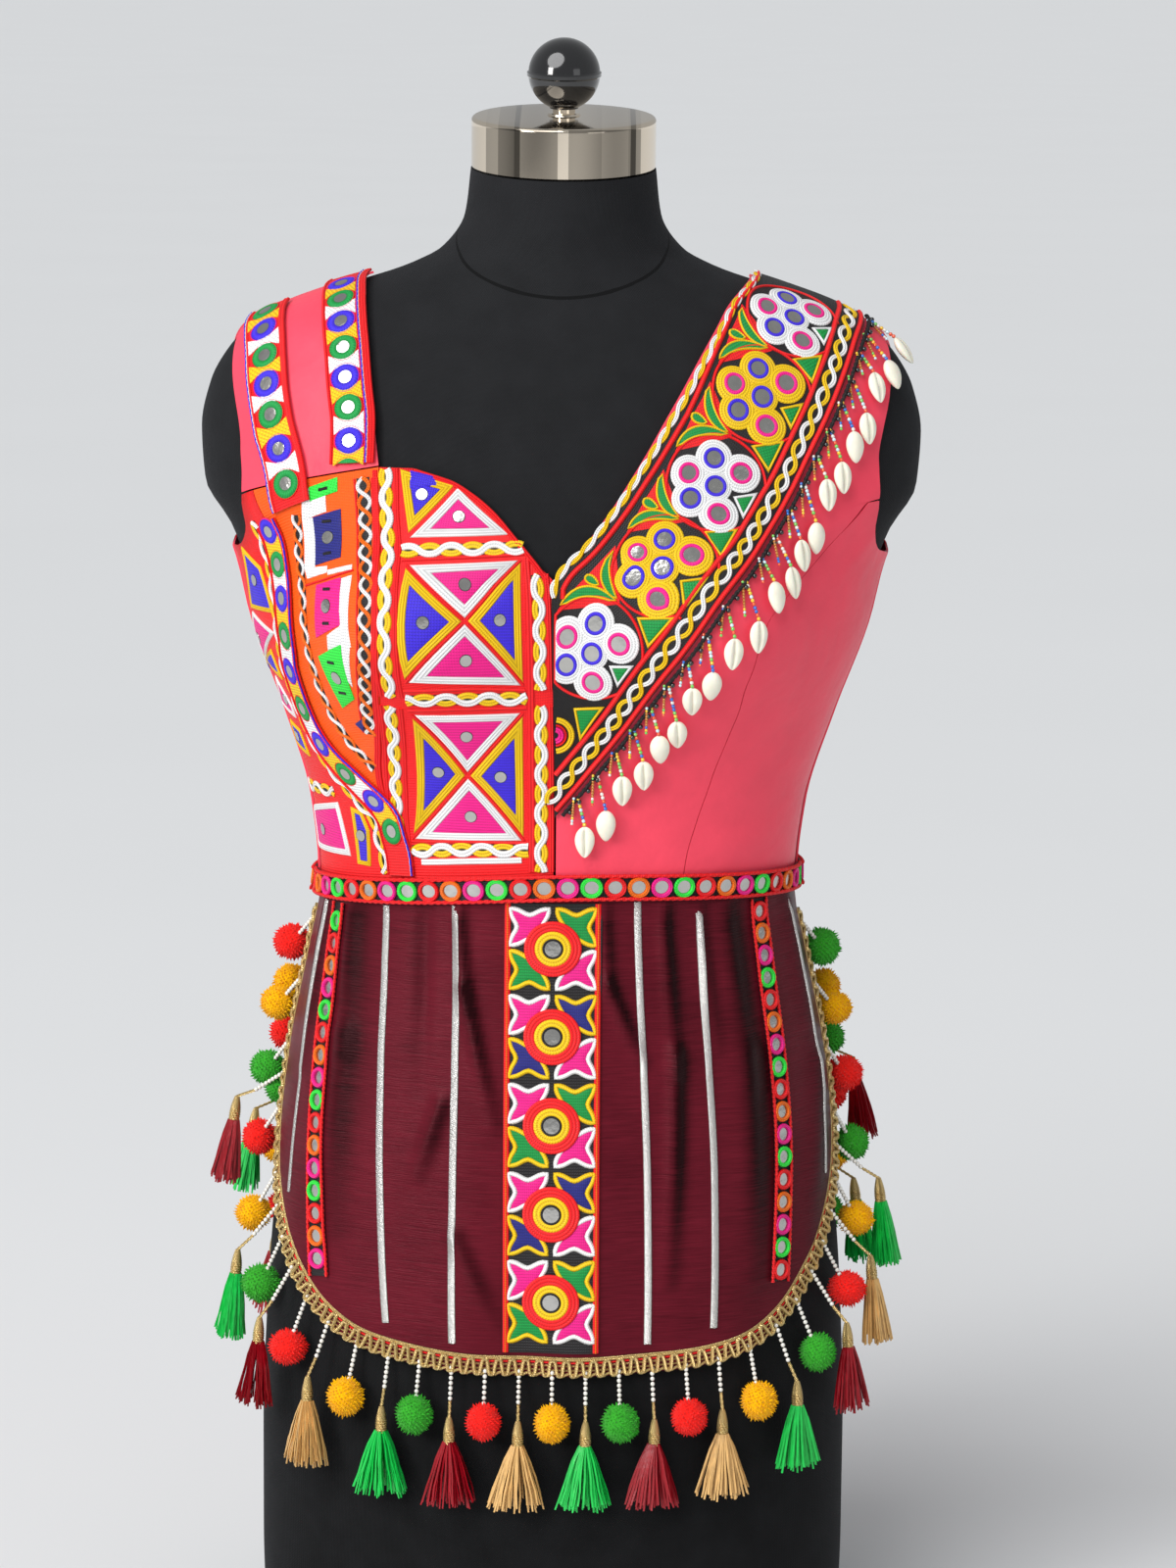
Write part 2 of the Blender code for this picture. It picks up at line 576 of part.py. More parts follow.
def make_bodice_trims():
    over = stand_on(clearance)
    item = new_object("strap_ribbon_outer", BLACK, 0.8)
    band(item, line(STRAP_RIBBON_OUTER, 12), STRAP_RIBBON_WIDE, 3, stand=over, thick=TRIM)
    item = new_object("strap_ribbon_inner", BLACK, 0.8)
    band(item, line(STRAP_RIBBON_INNER, 12), STRAP_RIBBON_WIDE, 2, stand=over, thick=TRIM)
    item = new_object("princess_ribbon_right", BLACK, 0.8)
    centre = line(PRINCESS_RIGHT, 22)
    centre[0, 1] = bodice_foot(centre[0, 0]) + 8
    band(item, centre[1:-1], PRINCESS_RIBBON_WIDE, 1, stand=over, thick=TRIM)
    item = new_object("slanting_border_left", BLACK, 0.8)
    rows = 26
    sheet(item, line(BORDER_INNER, rows), line(BORDER_OUTER, rows), 5, stand=over, thick=TRIM)


def make_waistband():
    """A mirror-work ribbon over the waist seam, in two halves that meet at the sides."""
    for name, start, end, count, under in (("waistband_front", -89.8, 89.8, 25, clearance),
                                           ("waistband_back", 90.2, 269.8, 21, back_clearance)):
        bearing = np.linspace(start, end, count)
        top = np.stack([bearing, waist(bearing)], -1)
        foot = top - (0, BAND_TALL)
        item = new_object(name, BLACK, 0.8)
        sheet(item, top, foot, 1, stand=stand_on(under, CLOTH + LIFT + 0.2), thick=TRIM + 0.3)


# ------------------------------------------------------------------ the peplum
def flap_places(table, rows, columns):
    """Places of a flap as a Coons patch: waist above, hem below, an edge on each side.

    A place is (left to right) + (bottom to top) - (the blend of the four corners).
    """
    hem = np.array(table, float)
    turned_back = hem[-1, 0] > 90
    heights = np.append(np.linspace(0, 1 - BAND_SHARE, rows), 1)
    side = line(table, fractions=FLAP_CORNER * (1 - heights))
    half = line(table, fractions=np.linspace(FLAP_CORNER, 1, columns // 2 + 1))
    flip = (lambda p: p * (-1, 1) + (360, 0)) if turned_back else mirrored
    first, last = (side, flip(side)) if turned_back else (flip(side), side)
    start, end = (half, flip(half)) if turned_back else (flip(half), half)
    bottom = np.concatenate([start, end[-2::-1]])
    bearing = np.linspace(first[-1, 0], last[-1, 0], columns + 1)
    top = np.stack([bearing, waist(bearing) - BAND_OVERLAP - AIR], -1)
    u = np.linspace(0, 1, columns + 1)[None, :, None]
    v = heights[:, None, None]
    first = first.copy()
    last = last.copy()
    first[-1], last[-1] = top[0], top[-1]
    across = first[:, None] * (1 - u) + last[:, None] * u
    upwards = bottom[None] * (1 - v) + top[None] * v
    corners = ((bottom[0] * (1 - u) + bottom[-1] * u) * (1 - v)
               + (top[0] * (1 - u) + top[-1] * u) * v)
    return across + upwards - corners


def make_peplum():
    for name, table in (("peplum_front", HEM_FRONT), ("peplum_back", HEM_BACK)):
        item = new_object(name, MAROON, 0.5)
        sheet_of(item, flap_places(table, FLAP_ROWS, FLAP_COLUMNS), stand=flap_stand)


def make_peplum_trims():
    over = stand_on(flap_stand, CLOTH + FLAP_LIFT)
    for name, width, high, middle, low, foot in PEPLUM_BRAIDS:
        start = waist(high) - BAND_TALL - BRAID_START
        route = line(((high, start), (middle, (start + foot) / 2), (low, foot)), 12)
        colour = SILVER if name.startswith("gota") else BLACK
        item = new_object(name, colour, 0.4)
        band(item, route, width, 3 if width > 30 else 1, stand=over, thick=TRIM)


# ------------------------------------------------------------------ pompoms, tassels, cowries
def unit(vectors):
    return vectors / np.linalg.norm(vectors, axis=-1, keepdims=True)


class Strands:
    """Gathers closed bodies, each a stack of rings, into one mesh."""

    def __init__(self):
        self.points = []
        self.faces = []

    def stack(self, centres, lateral, outward, radii, sides):
        """Rings around the centres; radii has a row of (lateral, outward) for each ring."""
        angle = np.arange(sides) * math.tau / sides
        first = len(self.points)
        for centre, (wide, deep) in zip(centres, radii):
            ring = (centre + wide * np.cos(angle)[:, None] * lateral
                    + deep * np.sin(angle)[:, None] * outward)
            self.points += list(ring)
        rings = len(centres)
        index = first + np.arange(rings * sides).reshape(rings, sides)
        after = np.roll(index, -1, axis=1)
        quads = np.stack([index[:-1], index[1:], after[1:], after[:-1]], -1)
        self.faces += quads.reshape(-1, 4).tolist()
        self.faces.append(index[0].tolist())
        return index[-1]

    def close(self, ring, tip):
        """Closes the last ring at a point."""
        pole = len(self.points)
        self.points.append(tip)
        for a, b in zip(ring, np.roll(ring, -1)):
            self.faces.append([int(b), int(a), pole])

    def locks(self, ring, root, foot, lateral, outward, flare):
        """Parts the last ring into locks that share only their roots and spread downwards."""
        sides = len(ring)
        pole = len(self.points)
        self.points.append(root)
        step = math.tau / sides
        for k in range(sides):
            a, b = int(ring[k]), int(ring[(k + 1) % sides])
            ends = ((0.5, 0.3), (0.16, 1.0), (0.84, 1.0))
            first = len(self.points)
            for share, reach in ends:
                turn = (k + share) * step
                self.points.append(foot + reach * (flare[0] * math.cos(turn) * lateral
                                                   + flare[1] * math.sin(turn) * outward))
            inner, low_a, low_b = first, first + 1, first + 2
            self.faces += [[pole, inner, low_a, a], [a, low_a, low_b, b],
                           [b, low_b, inner, pole], [inner, low_b, low_a]]

    def fill(self, item):
        return fill_mesh(item, np.array(self.points), self.faces)


def fuse(strip, strands, name):
    """Joins the strands to their strip, leaving one body."""
    tool = bpy.data.objects.new(name, bpy.data.meshes.new(name))
    CUTTERS.objects.link(tool)
    strands.fill(tool)
    tool.hide_render = True
    tool.display_type = "WIRE"
    join = strip.modifiers.new("Roots", "BOOLEAN")
    join.operation = "UNION"
    join.solver = "EXACT"
    join.object = tool


def edge_frame(edge, at):
    """Along an edge at the given distances: place, outward and downward directions, steepness."""
    points = on_skin(edge[:, 0], edge[:, 1])
    travelled = np.concatenate([[0], np.cumsum(np.linalg.norm(np.diff(points, axis=0), axis=1))])
    spots = np.stack([smooth(travelled, edge[:, k])(at) for k in (0, 1)], -1)
    ahead = np.stack([smooth(travelled, edge[:, k])(at + 2) for k in (0, 1)], -1)
    behind = np.stack([smooth(travelled, edge[:, k])(at - 2) for k in (0, 1)], -1)
    travel = unit(on_skin(*ahead.T) - on_skin(*behind.T))
    normal = skin_normal(*spots.T)
    outward = unit(np.cross(travel, normal))
    down = np.array([0, 0, -1.0]) - normal * -normal[:, 2:]
    down = unit(down)
    steep = np.abs(np.sum(travel * down, -1))
    return spots, outward, down, steep


def moved(place_now, move):
    """The place that a small move over the surface leads to."""
    by_degree, by_level = chart_steps(*place_now)
    return place_now + chart_move(by_degree, by_level, move)


def edge_length(edge):
    return np.linalg.norm(np.diff(on_skin(edge[:, 0], edge[:, 1]), axis=0), axis=1).sum()


def add_pompom(strands, root, spot, direction):
    at = moved(spot, direction * (POM_STRING + POM_RADIUS))
    centre = place(at[0], at[1], POM_STAND)
    axis = unit(centre - root)
    normal = skin_normal(at[0], at[1])
    lateral = unit(np.cross(axis, normal))
    outward = np.cross(lateral, axis)
    centres, radii = [root, centre - axis * POM_RADIUS * 0.97], [(STRING_RADIUS,) * 2] * 2
    for degrees in (48, 90, 132):
        turn = math.radians(degrees)
        centres.append(centre - axis * POM_RADIUS * math.cos(turn))
        radii.append((POM_RADIUS * math.sin(turn),) * 2)
    ring = strands.stack(centres, lateral, outward, radii, POM_SIDES)
    strands.close(ring, centre + axis * POM_RADIUS)


def add_tassel(strands, root, spot, direction, down, steep):
    at = moved(spot, direction * TASSEL_CORD)
    stand = TASSEL_STAND + TASSEL_OVER * steep
    head = place(at[0], at[1], stand)
    normal = skin_normal(at[0], at[1])
    lateral = unit(np.cross(down, normal))
    outward = np.cross(lateral, down)
    flare = TASSEL_FLARE * (1 - 0.35 * steep)
    root_of_skirt = head + down * (TASSEL_HEAD + 1)
    centres = [root, head, head + down * 1.5, root_of_skirt]
    radii = [(STRING_RADIUS,) * 2] * 2 + [(TASSEL_HEAD_RADIUS,) * 2] * 2
    ring = strands.stack(centres, lateral, outward, radii, TASSEL_SIDES)
    foot = root_of_skirt + down * TASSEL_SKIRT
    strands.locks(ring, root_of_skirt + down * 1.0, foot, lateral, outward, (flare, 7.0))


def make_gimp(name, table):
    """The gold gimp round a flap, with its pompoms and tassels."""
    places = flap_places(table, FLAP_ROWS, FLAP_COLUMNS)
    edge = np.concatenate([places[-2:0:-1, 0], places[0], places[1:-1, -1]])
    item = new_object(name, GOLD, 0.5)
    sheet(item, beside(edge, -GIMP_WIDE), edge, 1, stand=flap_stand, thick=GIMP_THICK)
    half = edge_length(edge) / 2
    count = int((half - FIRST_DROP) / PITCH)
    numbers = np.arange(-count, count + 1)
    spots, outward, down, steep = edge_frame(edge, half + numbers * PITCH)
    strands = Strands()
    for k, spot, out, drop, slope in zip(numbers, spots, outward, down, steep):
        lean = FAN * slope
        direction = math.cos(lean) * drop + math.sin(lean) * out
        fixed = moved(spot, out * GIMP_WIDE * 0.6)
        root = place(fixed[0], fixed[1], flap_stand(*fixed) + GIMP_THICK / 2)
        leave = moved(spot, out * GIMP_WIDE)
        if k % 2 == 0:
            add_pompom(strands, root, leave, direction)
        elif slope < STEEP or (k % 4 == 1 and spot[1] < TASSELS_BELOW):
            add_tassel(strands, root, leave, direction, drop, slope ** 2)
    fuse(item, strands, name + "_strands")


def make_cowries():
    """Cowries on beaded strings, from a crochet cord along the border's outer edge."""
    edge = line(BORDER_OUTER, 27)
    over = stand_on(clearance)
    item = new_object("cowrie_fringe", BLACK, 0.5)
    near = beside(edge, -0.7)
    far = beside(edge, -0.7 - COWRIE_CORD_WIDE)
    sheet(item, near[1:], far[1:], 1, stand=over, thick=COWRIE_CORD_THICK)
    length = edge_length(edge)
    at = np.linspace(17, length - 8, COWRIES)
    spots, outward, down, steep = edge_frame(edge, at)
    strands = Strands()
    for k, (spot, out, drop) in enumerate(zip(spots, outward, down)):
        fixed = moved(spot, out * (0.7 + COWRIE_CORD_WIDE * 0.5))
        stand = over(*fixed)
        root = place(fixed[0], fixed[1], stand + COWRIE_CORD_THICK * 0.5)
        direction = unit(drop + COWRIE_LEAN * out)
        at_top = moved(spot, direction * COWRIE_STRING[k % len(COWRIE_STRING)])
        at_middle = moved(at_top, drop * COWRIE_LONG / 2)
        high = stand + COWRIE_DEEP / 2 + 0.3
        top = place(at_top[0], at_top[1], high)
        middle = place(at_middle[0], at_middle[1], high)
        axis = unit(middle - top)
        normal = skin_normal(*at_middle)
        lateral = unit(np.cross(axis, normal))
        facing = np.cross(lateral, axis)
        centres, radii = [root, top], [(0.9, 0.9), (0.9, 0.9)]
        for share, wide in ((0.14, 0.62), (0.42, 1.0), (0.8, 0.66)):
            centres.append(top + axis * COWRIE_LONG * share)
            radii.append((COWRIE_WIDE / 2 * wide, COWRIE_DEEP / 2 * wide))
        ring = strands.stack(centres, lateral, facing, radii, COWRIE_SIDES)
        strands.close(ring, top + axis * COWRIE_LONG)
    fuse(item, strands, "cowrie_strands")


# ------------------------------------------------------------------ the run
def clear_scene():
    for item in list(bpy.data.objects):
        bpy.data.objects.remove(item, do_unlink=True)


clear_scene()
PARTS = bpy.data.collections.new("choli_blouse_on_dress_form")
CUTTERS = bpy.data.collections.new("cutters")
for group in (PARTS, CUTTERS):
    bpy.context.scene.collection.children.link(group)

make_form()
make_cap()
make_knob()
make_right_front()
make_left_front()
make_backs()
make_bodice_trims()
make_waistband()
make_peplum()
make_peplum_trims()
make_gimp("hem_trim_front", HEM_FRONT)
make_gimp("hem_trim_back", HEM_BACK)
make_cowries()
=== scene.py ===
# %% [markdown]
# # A choli blouse on a dress form
# The frame holds the garment as plain solids: the form, the cut panels of the bodice, the two
# flaps of the peplum and every trim. This lesson dresses them. Each panel becomes a thin shell of
# cloth on the same form, and the embroidery is laid on it as real thread, row by row.

# %% The frame
from collections import defaultdict
import json
import math

import bpy
from mathutils import Matrix, Vector
import numpy as np

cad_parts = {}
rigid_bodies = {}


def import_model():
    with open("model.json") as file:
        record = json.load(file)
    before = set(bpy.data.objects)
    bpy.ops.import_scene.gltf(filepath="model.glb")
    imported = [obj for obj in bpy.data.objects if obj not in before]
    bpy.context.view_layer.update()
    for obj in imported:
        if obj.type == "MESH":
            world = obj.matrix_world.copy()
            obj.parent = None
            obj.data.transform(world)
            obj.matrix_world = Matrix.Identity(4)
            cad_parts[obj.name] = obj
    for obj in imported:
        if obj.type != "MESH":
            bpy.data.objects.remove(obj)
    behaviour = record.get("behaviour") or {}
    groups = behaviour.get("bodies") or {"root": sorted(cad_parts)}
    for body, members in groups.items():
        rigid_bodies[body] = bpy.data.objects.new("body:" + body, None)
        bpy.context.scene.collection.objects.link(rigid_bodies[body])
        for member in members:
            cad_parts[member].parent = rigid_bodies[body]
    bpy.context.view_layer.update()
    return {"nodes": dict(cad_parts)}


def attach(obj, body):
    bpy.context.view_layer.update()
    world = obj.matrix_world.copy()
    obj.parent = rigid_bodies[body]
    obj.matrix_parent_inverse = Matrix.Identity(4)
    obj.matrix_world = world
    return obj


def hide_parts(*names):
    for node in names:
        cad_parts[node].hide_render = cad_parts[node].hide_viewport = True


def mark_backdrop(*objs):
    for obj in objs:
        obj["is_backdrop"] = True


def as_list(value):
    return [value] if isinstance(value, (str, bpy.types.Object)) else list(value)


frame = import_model()
MM = 0.001
print("solids in the frame:", len(frame["nodes"]))

# %% [markdown]
# ## The form and its chart
# Everything that is sewn lies on one curved body, so the body is charted first. A place is a
# bearing (degrees from centre front, positive to the wearer's left) and a level: a height up to
# CENTRE, and above it a turn of the ray from the middle of the chest. The form itself is a stack
# of superellipses, read off by monotone cubics, with a round swell for each cup.

# %% Sizes of the form
FORM_RINGS = (
    # height, half_width, front, back, power
    (0, 158, 110, 122, 2.2), (60, 160, 112, 126, 2.2), (120, 160, 114, 130, 2.2),
    (200, 157, 113, 130, 2.2), (280, 150, 108, 119, 2.15), (340, 142, 101, 104, 2.1),
    (390, 132, 94, 94, 2.1), (430, 125, 91, 90, 2.1), (470, 129, 93, 92, 2.1),
    (520, 144, 100, 97, 2.15), (570, 162, 106, 103, 2.2), (600, 169, 107, 106, 2.15),
    (618, 176, 105, 106, 2.1), (642, 190, 101, 104, 2.05), (670, 192, 94, 100, 2.0),
    (694, 187, 86, 95, 1.98), (712, 177, 77, 88, 1.93), (724, 165, 70, 82, 1.88),
    (736, 142, 63, 76, 1.82), (746, 114, 57, 69, 1.8), (755, 86, 53, 62, 1.82),
    (766, 64, 51, 56, 1.9), (784, 52, 49, 52, 2.0), (808, 49, 48, 49, 2.0),
)
BUST_REACH, BUST_HEIGHT = 80.0, 572.0
BUST_SWELL, BUST_WIDE, BUST_TALL = 27.0, 46.0, 50.0
CENTRE, DOME = 600.0, 150.0
NECK_TOP, NECK_TILT, NECK_TILT_START = 808.0, math.radians(6), 772.0


def smooth(knots, values):
    """A curve through the knots that never overshoots them: a cubic on each stretch, whose
    slopes at the knots are the weighted harmonic means of the slopes on both sides."""
    x = np.asarray(knots, float)
    y = np.asarray(values, float)
    step = np.diff(x)
    slope = np.diff(y) / step
    tangent = np.zeros_like(y)
    before, after = slope[:-1], slope[1:]
    same = before * after > 0
    weight_a = (2 * step[1:] + step[:-1])[same]
    weight_b = (step[1:] + 2 * step[:-1])[same]
    inner = np.zeros(len(same))
    inner[same] = (weight_a + weight_b) / (weight_a / before[same] + weight_b / after[same])
    tangent[1:-1] = inner
    tangent[0], tangent[-1] = slope[0], slope[-1]

    def curve(at):
        at = np.clip(at, x[0], x[-1])
        k = np.clip(np.searchsorted(x, at, side="right") - 1, 0, len(step) - 1)
        t = (at - x[k]) / step[k]
        return ((1 + 2 * t) * (1 - t) ** 2 * y[k] + t * (1 - t) ** 2 * step[k] * tangent[k]
                + t * t * (3 - 2 * t) * y[k + 1] + t * t * (t - 1) * step[k] * tangent[k + 1])
    return curve


RINGS = np.array(FORM_RINGS, float)
RING_CURVES = [smooth(RINGS[:, 0], RINGS[:, k]) for k in range(1, 5)]


def form_radius(bearing, height):
    """Distance from the axis: one over the superellipse's gauge, plus a bell for each cup."""
    half_width, front, back, power = (curve(height) for curve in RING_CURVES)
    across, ahead = np.sin(bearing), np.cos(bearing)
    depth = np.where(ahead > 0, front, back)
    radius = ((np.abs(across) / half_width) ** power
              + (np.abs(ahead) / depth) ** power) ** (-1 / power)
    reach = radius * across
    for side in (-1, 1):
        away = (((reach - side * BUST_REACH) / BUST_WIDE) ** 2
                + ((height - BUST_HEIGHT) / BUST_TALL) ** 2)
        radius = radius + BUST_SWELL * np.clip(ahead, 0, 1) ** 0.6 * np.exp(-away)
    return radius


# %% The chart, measured once
BEARING_STEP, LEVEL_STEP, TOP_TURN = 0.5, 2.0, 1.44
HALVINGS, FARTHEST = 26, 320.0


def unit(vectors):
    return vectors / np.linalg.norm(vectors, axis=-1, keepdims=True)


def full_turn(sides):
    """Angles evenly spaced once round."""
    return np.arange(sides) * math.tau / sides


def together(*parts):
    """Arrays that fill one another out, as the coordinates of one grid of points."""
    return np.stack(np.broadcast_arrays(*parts), -1)


def path_length(points):
    """How far along a path each of its points lies."""
    return np.concatenate([[0], np.cumsum(np.linalg.norm(np.diff(points, axis=0), axis=1))])


def clockwise(flat):
    """Whether the corners of a polygon run clockwise: its signed area is below zero."""
    after = np.roll(flat, -1, 0)
    return np.sum(flat[:, 0] * after[:, 1] - flat[:, 1] * after[:, 0]) < 0


def measure_skin():
    """Points and normals of the form for a grid of places. Each point is found along its ray by
    halving the stretch that it lies in; each normal is the cross product of the steps to the
    neighbours."""
    levels = np.arange(0, CENTRE + TOP_TURN * DOME, LEVEL_STEP)
    bearings = np.radians(np.arange(0, 360, BEARING_STEP))
    bearing, level = np.meshgrid(bearings, levels)
    turn = np.clip((level - CENTRE) / DOME, 0, None)
    out, up = np.cos(turn), np.sin(turn)
    base = np.minimum(level, CENTRE)
    near, far = np.zeros(level.shape), np.full(level.shape, FARTHEST)
    for _ in range(HALVINGS):
        ray = (near + far) / 2
        height = base + ray * up
        inside = (ray * out < form_radius(bearing, height)) & (height < NECK_TOP)
        near, far = np.where(inside, ray, near), np.where(inside, far, ray)
    points = np.stack([ray * out * np.sin(bearing), -ray * out * np.cos(bearing),
                       base + ray * up], -1)
    sideways = np.roll(points, -1, 1) - np.roll(points, 1, 1)
    return points, unit(np.cross(sideways, np.gradient(points, axis=0)))


SKIN, SKIN_NORMAL = measure_skin()
print("places charted:", SKIN.shape[0] * SKIN.shape[1])


def read_chart(table, bearing, level):
    """Bilinear reading: the four corners of a cell, weighted by the place inside it."""
    x = (np.asarray(bearing, float) / BEARING_STEP) % table.shape[1]
    y = np.clip(np.asarray(level, float) / LEVEL_STEP, 0, table.shape[0] - 1.001)
    column, row = x.astype(int) % table.shape[1], y.astype(int)
    beyond = (column + 1) % table.shape[1]
    s, t = (x - np.floor(x))[..., None], (y - row)[..., None]
    low = table[row, column] * (1 - s) + table[row, beyond] * s
    high = table[row + 1, column] * (1 - s) + table[row + 1, beyond] * s
    return low * (1 - t) + high * t


def on_skin(places):
    return read_chart(SKIN, places[..., 0], places[..., 1])


def outward(places):
    return unit(read_chart(SKIN_NORMAL, places[..., 0], places[..., 1]))


def standing(places, stand):
    """Points that stand off the form: the skin's point plus the stand along its normal."""
    return on_skin(places) + np.asarray(stand)[..., None] * outward(places)


def chart_steps(places):
    """How the skin's point moves for one degree of bearing and for one millimetre of level."""
    degree, millimetre = np.array([1.0, 0.0]), np.array([0.0, 3.0])
    return (on_skin(places + degree) - on_skin(places - degree)) / 2, \
        (on_skin(places + millimetre) - on_skin(places - millimetre)) / 6


def moved(places, move):
    """The places that small moves over the skin lead to, by least squares on the two steps."""
    by_degree, by_level = chart_steps(places)
    a, b, c = (np.sum(p * q, -1) for p, q in ((by_degree, by_degree), (by_degree, by_level),
                                              (by_level, by_level)))
    p, q = np.sum(by_degree * move, -1), np.sum(by_level * move, -1)
    below = a * c - b * b
    return places + np.stack([(c * p - b * q) / below, (a * q - b * p) / below], -1)


# %% [markdown]
# ## How far cloth stands off the form
# A blouse touches its form over the shoulders and stands a couple of millimetres off it lower
# down. The flaps hang freer, in soft folds that deepen towards the hem. On top of that each
# cloth has its own creases: a crease is a soft trough along a short line.

# %% Stands and creases
CLEAR, SHOULDER_CLEAR, BACK_EASE = 2.1, 1.1, 1.7
SHOULDER_FROM, SHOULDER_RUN = 672, 30          # the levels over which the cloth comes to lie closer
BACK_FROM, BACK_RUN = 720, 60                  # the levels over which the back eases off, downwards
CLOTH, ON_CLOTH = 1.2, 0.15                    # its thickness, and the gap under what lies on it
WAIST, WAIST_RISE, WAIST_LEAN = 433.0, 12.5, 3.0
BAND_TALL, BAND_OVERLAP = 13.7, 6.8
AIR = 0.3
PEPLUM_CLEAR, FOLD_DEEP, FOLDS = 3.2, 3.2, 10
FLAP_STRAIGHT, FLAP_LONG = 3.0, 220.0
DEGREE_LONG = 2.3                              # mm to a degree of bearing, near enough for lines


def ease(t):
    t = np.clip(t, 0, 1)
    return t * t * (3 - 2 * t)


def clearance(places):
    high = ease((places[..., 1] - SHOULDER_FROM) / SHOULDER_RUN)
    return CLEAR + (SHOULDER_CLEAR - CLEAR) * high


def back_clearance(places):
    return clearance(places) + BACK_EASE * np.clip((BACK_FROM - places[..., 1]) / BACK_RUN, 0, 1)


def waist(bearing):
    turn = np.radians(bearing)
    return WAIST + WAIST_RISE * np.clip(np.cos(turn), 0, 1) + WAIST_LEAN * np.sin(turn)


def flap_stand(places):
    """Folds: a sine of ten waves round the body, whose depth grows with the drop."""
    bearing, level = places[..., 0], places[..., 1]
    drop = np.clip((waist(bearing) - BAND_TALL - FLAP_STRAIGHT - level) / FLAP_LONG, 0, 1)
    wave = np.sin(np.radians(bearing) * FOLDS + 0.9 * np.sin(np.radians(bearing * 3)))
    return CLEAR + (PEPLUM_CLEAR - CLEAR) * drop + FOLD_DEEP * drop * (1 + wave) / 2


def fold_bell(places, fold, aside=0.0):
    """A bell across the fold's line, fading to its end. It can be moved aside, in millimetres."""
    bearing, level, to_bearing, to_level, wide = fold[:5]
    start = np.array([bearing * DEGREE_LONG + aside, level])
    run = np.array([to_bearing * DEGREE_LONG + aside, to_level]) - start
    flat = places * (DEGREE_LONG, 1)
    along = np.sum((flat - start) * run, -1) / np.dot(run, run)
    nearest = start + np.clip(along, 0, 1)[..., None] * run
    away = np.linalg.norm(flat - nearest, axis=-1) / wide
    return np.exp(-away ** 2) * (0.35 + 0.65 * ease(1.6 - 1.6 * along))


def creased(stand, folds):
    """The stand plus soft ridges and troughs."""
    return lambda places: stand(places) + sum(fold[5] * fold_bell(places, fold) for fold in folds)


# %% [markdown]
# ## Lines on the chart
# Seams, edges and ribbons are short tables of places. They are the cut of the blouse: a curve
# through each table is sampled as finely as the cloth needs.

# %% Seam tables
CUP_SEAM = (
    (-50.2, 474), (-50.4, 486), (-49.9, 495), (-47.3, 511), (-42.9, 535), (-39.2, 560),
    (-38.2, 578), (-39.6, 598), (-42.0, 620), (-44.6, 643), (-47.0, 664),
)
PRINCESS_RIGHT = (
    (-47.6, 430), (-47.8, 447), (-49.4, 464), (-50.6, 474), (-53.6, 481), (-59.9, 494),
    (-65.3, 508), (-67.6, 527), (-67.2, 547), (-65.3, 567), (-65.1, 586), (-65.9, 604),
    (-67.6, 620), (-70.2, 634),
)
PRINCESS_LEFT = (
    (39.0, 430), (39.5, 447), (42.4, 476), (44.2, 505), (44.0, 530), (42.6, 552),
    (43.4, 574), (51.2, 593), (62.0, 613), (70.6, 635),
)
ARMHOLE = (
    (90.0, 606), (80.0, 609), (75.2, 617), (72.6, 634), (73.6, 654), (77.8, 672), (83.8, 686),
    (90.0, 697),
)
ARM_LOW, ARM_HIGH = 0.409, 0.4135
SWEETHEART = (
    (-0.9, 600), (-3.6, 605), (-7.4, 616.5), (-12.8, 632.5), (-19.2, 649.5), (-24.6, 658.8),
    (-30.8, 665.2), (-39.5, 667.6),
)
NECK_LEFT = (
    (0.4, 600), (1.4, 608), (3.2, 615.4), (6.0, 623.0), (9.8, 636.6), (15.4, 654.5), (21.9, 675.5),
    (35.2, 709.6), (51.6, 734.4), (66.0, 745.2), (90.0, 749),
)
NECK_RIGHT = (
    (-47.0, 664), (-49.7, 681), (-53.8, 700), (-59.9, 718), (-69.3, 734), (-90.0, 746),
)
NECK_BACK = (
    (180.0, 675), (158.0, 682), (138.0, 700), (122.0, 719), (106.0, 738), (90.0, 748),
)
ARMHOLE_BACK = (
    (90.0, 606), (98.5, 610), (103.5, 622), (105.0, 642), (103.0, 664), (97.0, 683),
    (90.0, 697),
)
HEM_FRONT = (
    (84.0, 426), (83.0, 385), (82.2, 345), (80.5, 310), (77.0, 280), (70.5, 252), (62.5, 227),
    (54.5, 209), (45.0, 198), (30.0, 193), (15.0, 191.3), (0.0, 191),
)
HEM_BACK = (
    (101.0, 426), (109.0, 385), (113.0, 345), (115.0, 310), (116.5, 280), (120.0, 252),
    (125.0, 227), (130.5, 209), (138.5, 198), (151.0, 193), (165.0, 191.3), (180.0, 191),
)
BORDER_OUTER = (
    (-0.9, 476.4), (8.9, 498), (19.2, 525), (27.6, 560), (35.4, 590), (46.3, 616.6), (55.4, 643.5),
    (63.4, 668.5), (71.4, 686.6), (80.0, 698), (90.0, 703),
)
BORDER_INNER = (
    (-0.9, 503), (-1.7, 560), (-2.1, 598), (-0.2, 608.5), (2.3, 616), (5.8, 624), (10.4, 637),
    (16.2, 655), (22.6, 675), (36.2, 708.5), (52.2, 733), (66.0, 743.6), (90.0, 747.3),
)
STRAP_RIBBON_OUTER = ((-62.4, 633.5), (-64.6, 650), (-68.3, 667), (-72.6, 683), (-78.8, 696.5),
                      (-88.4, 706))
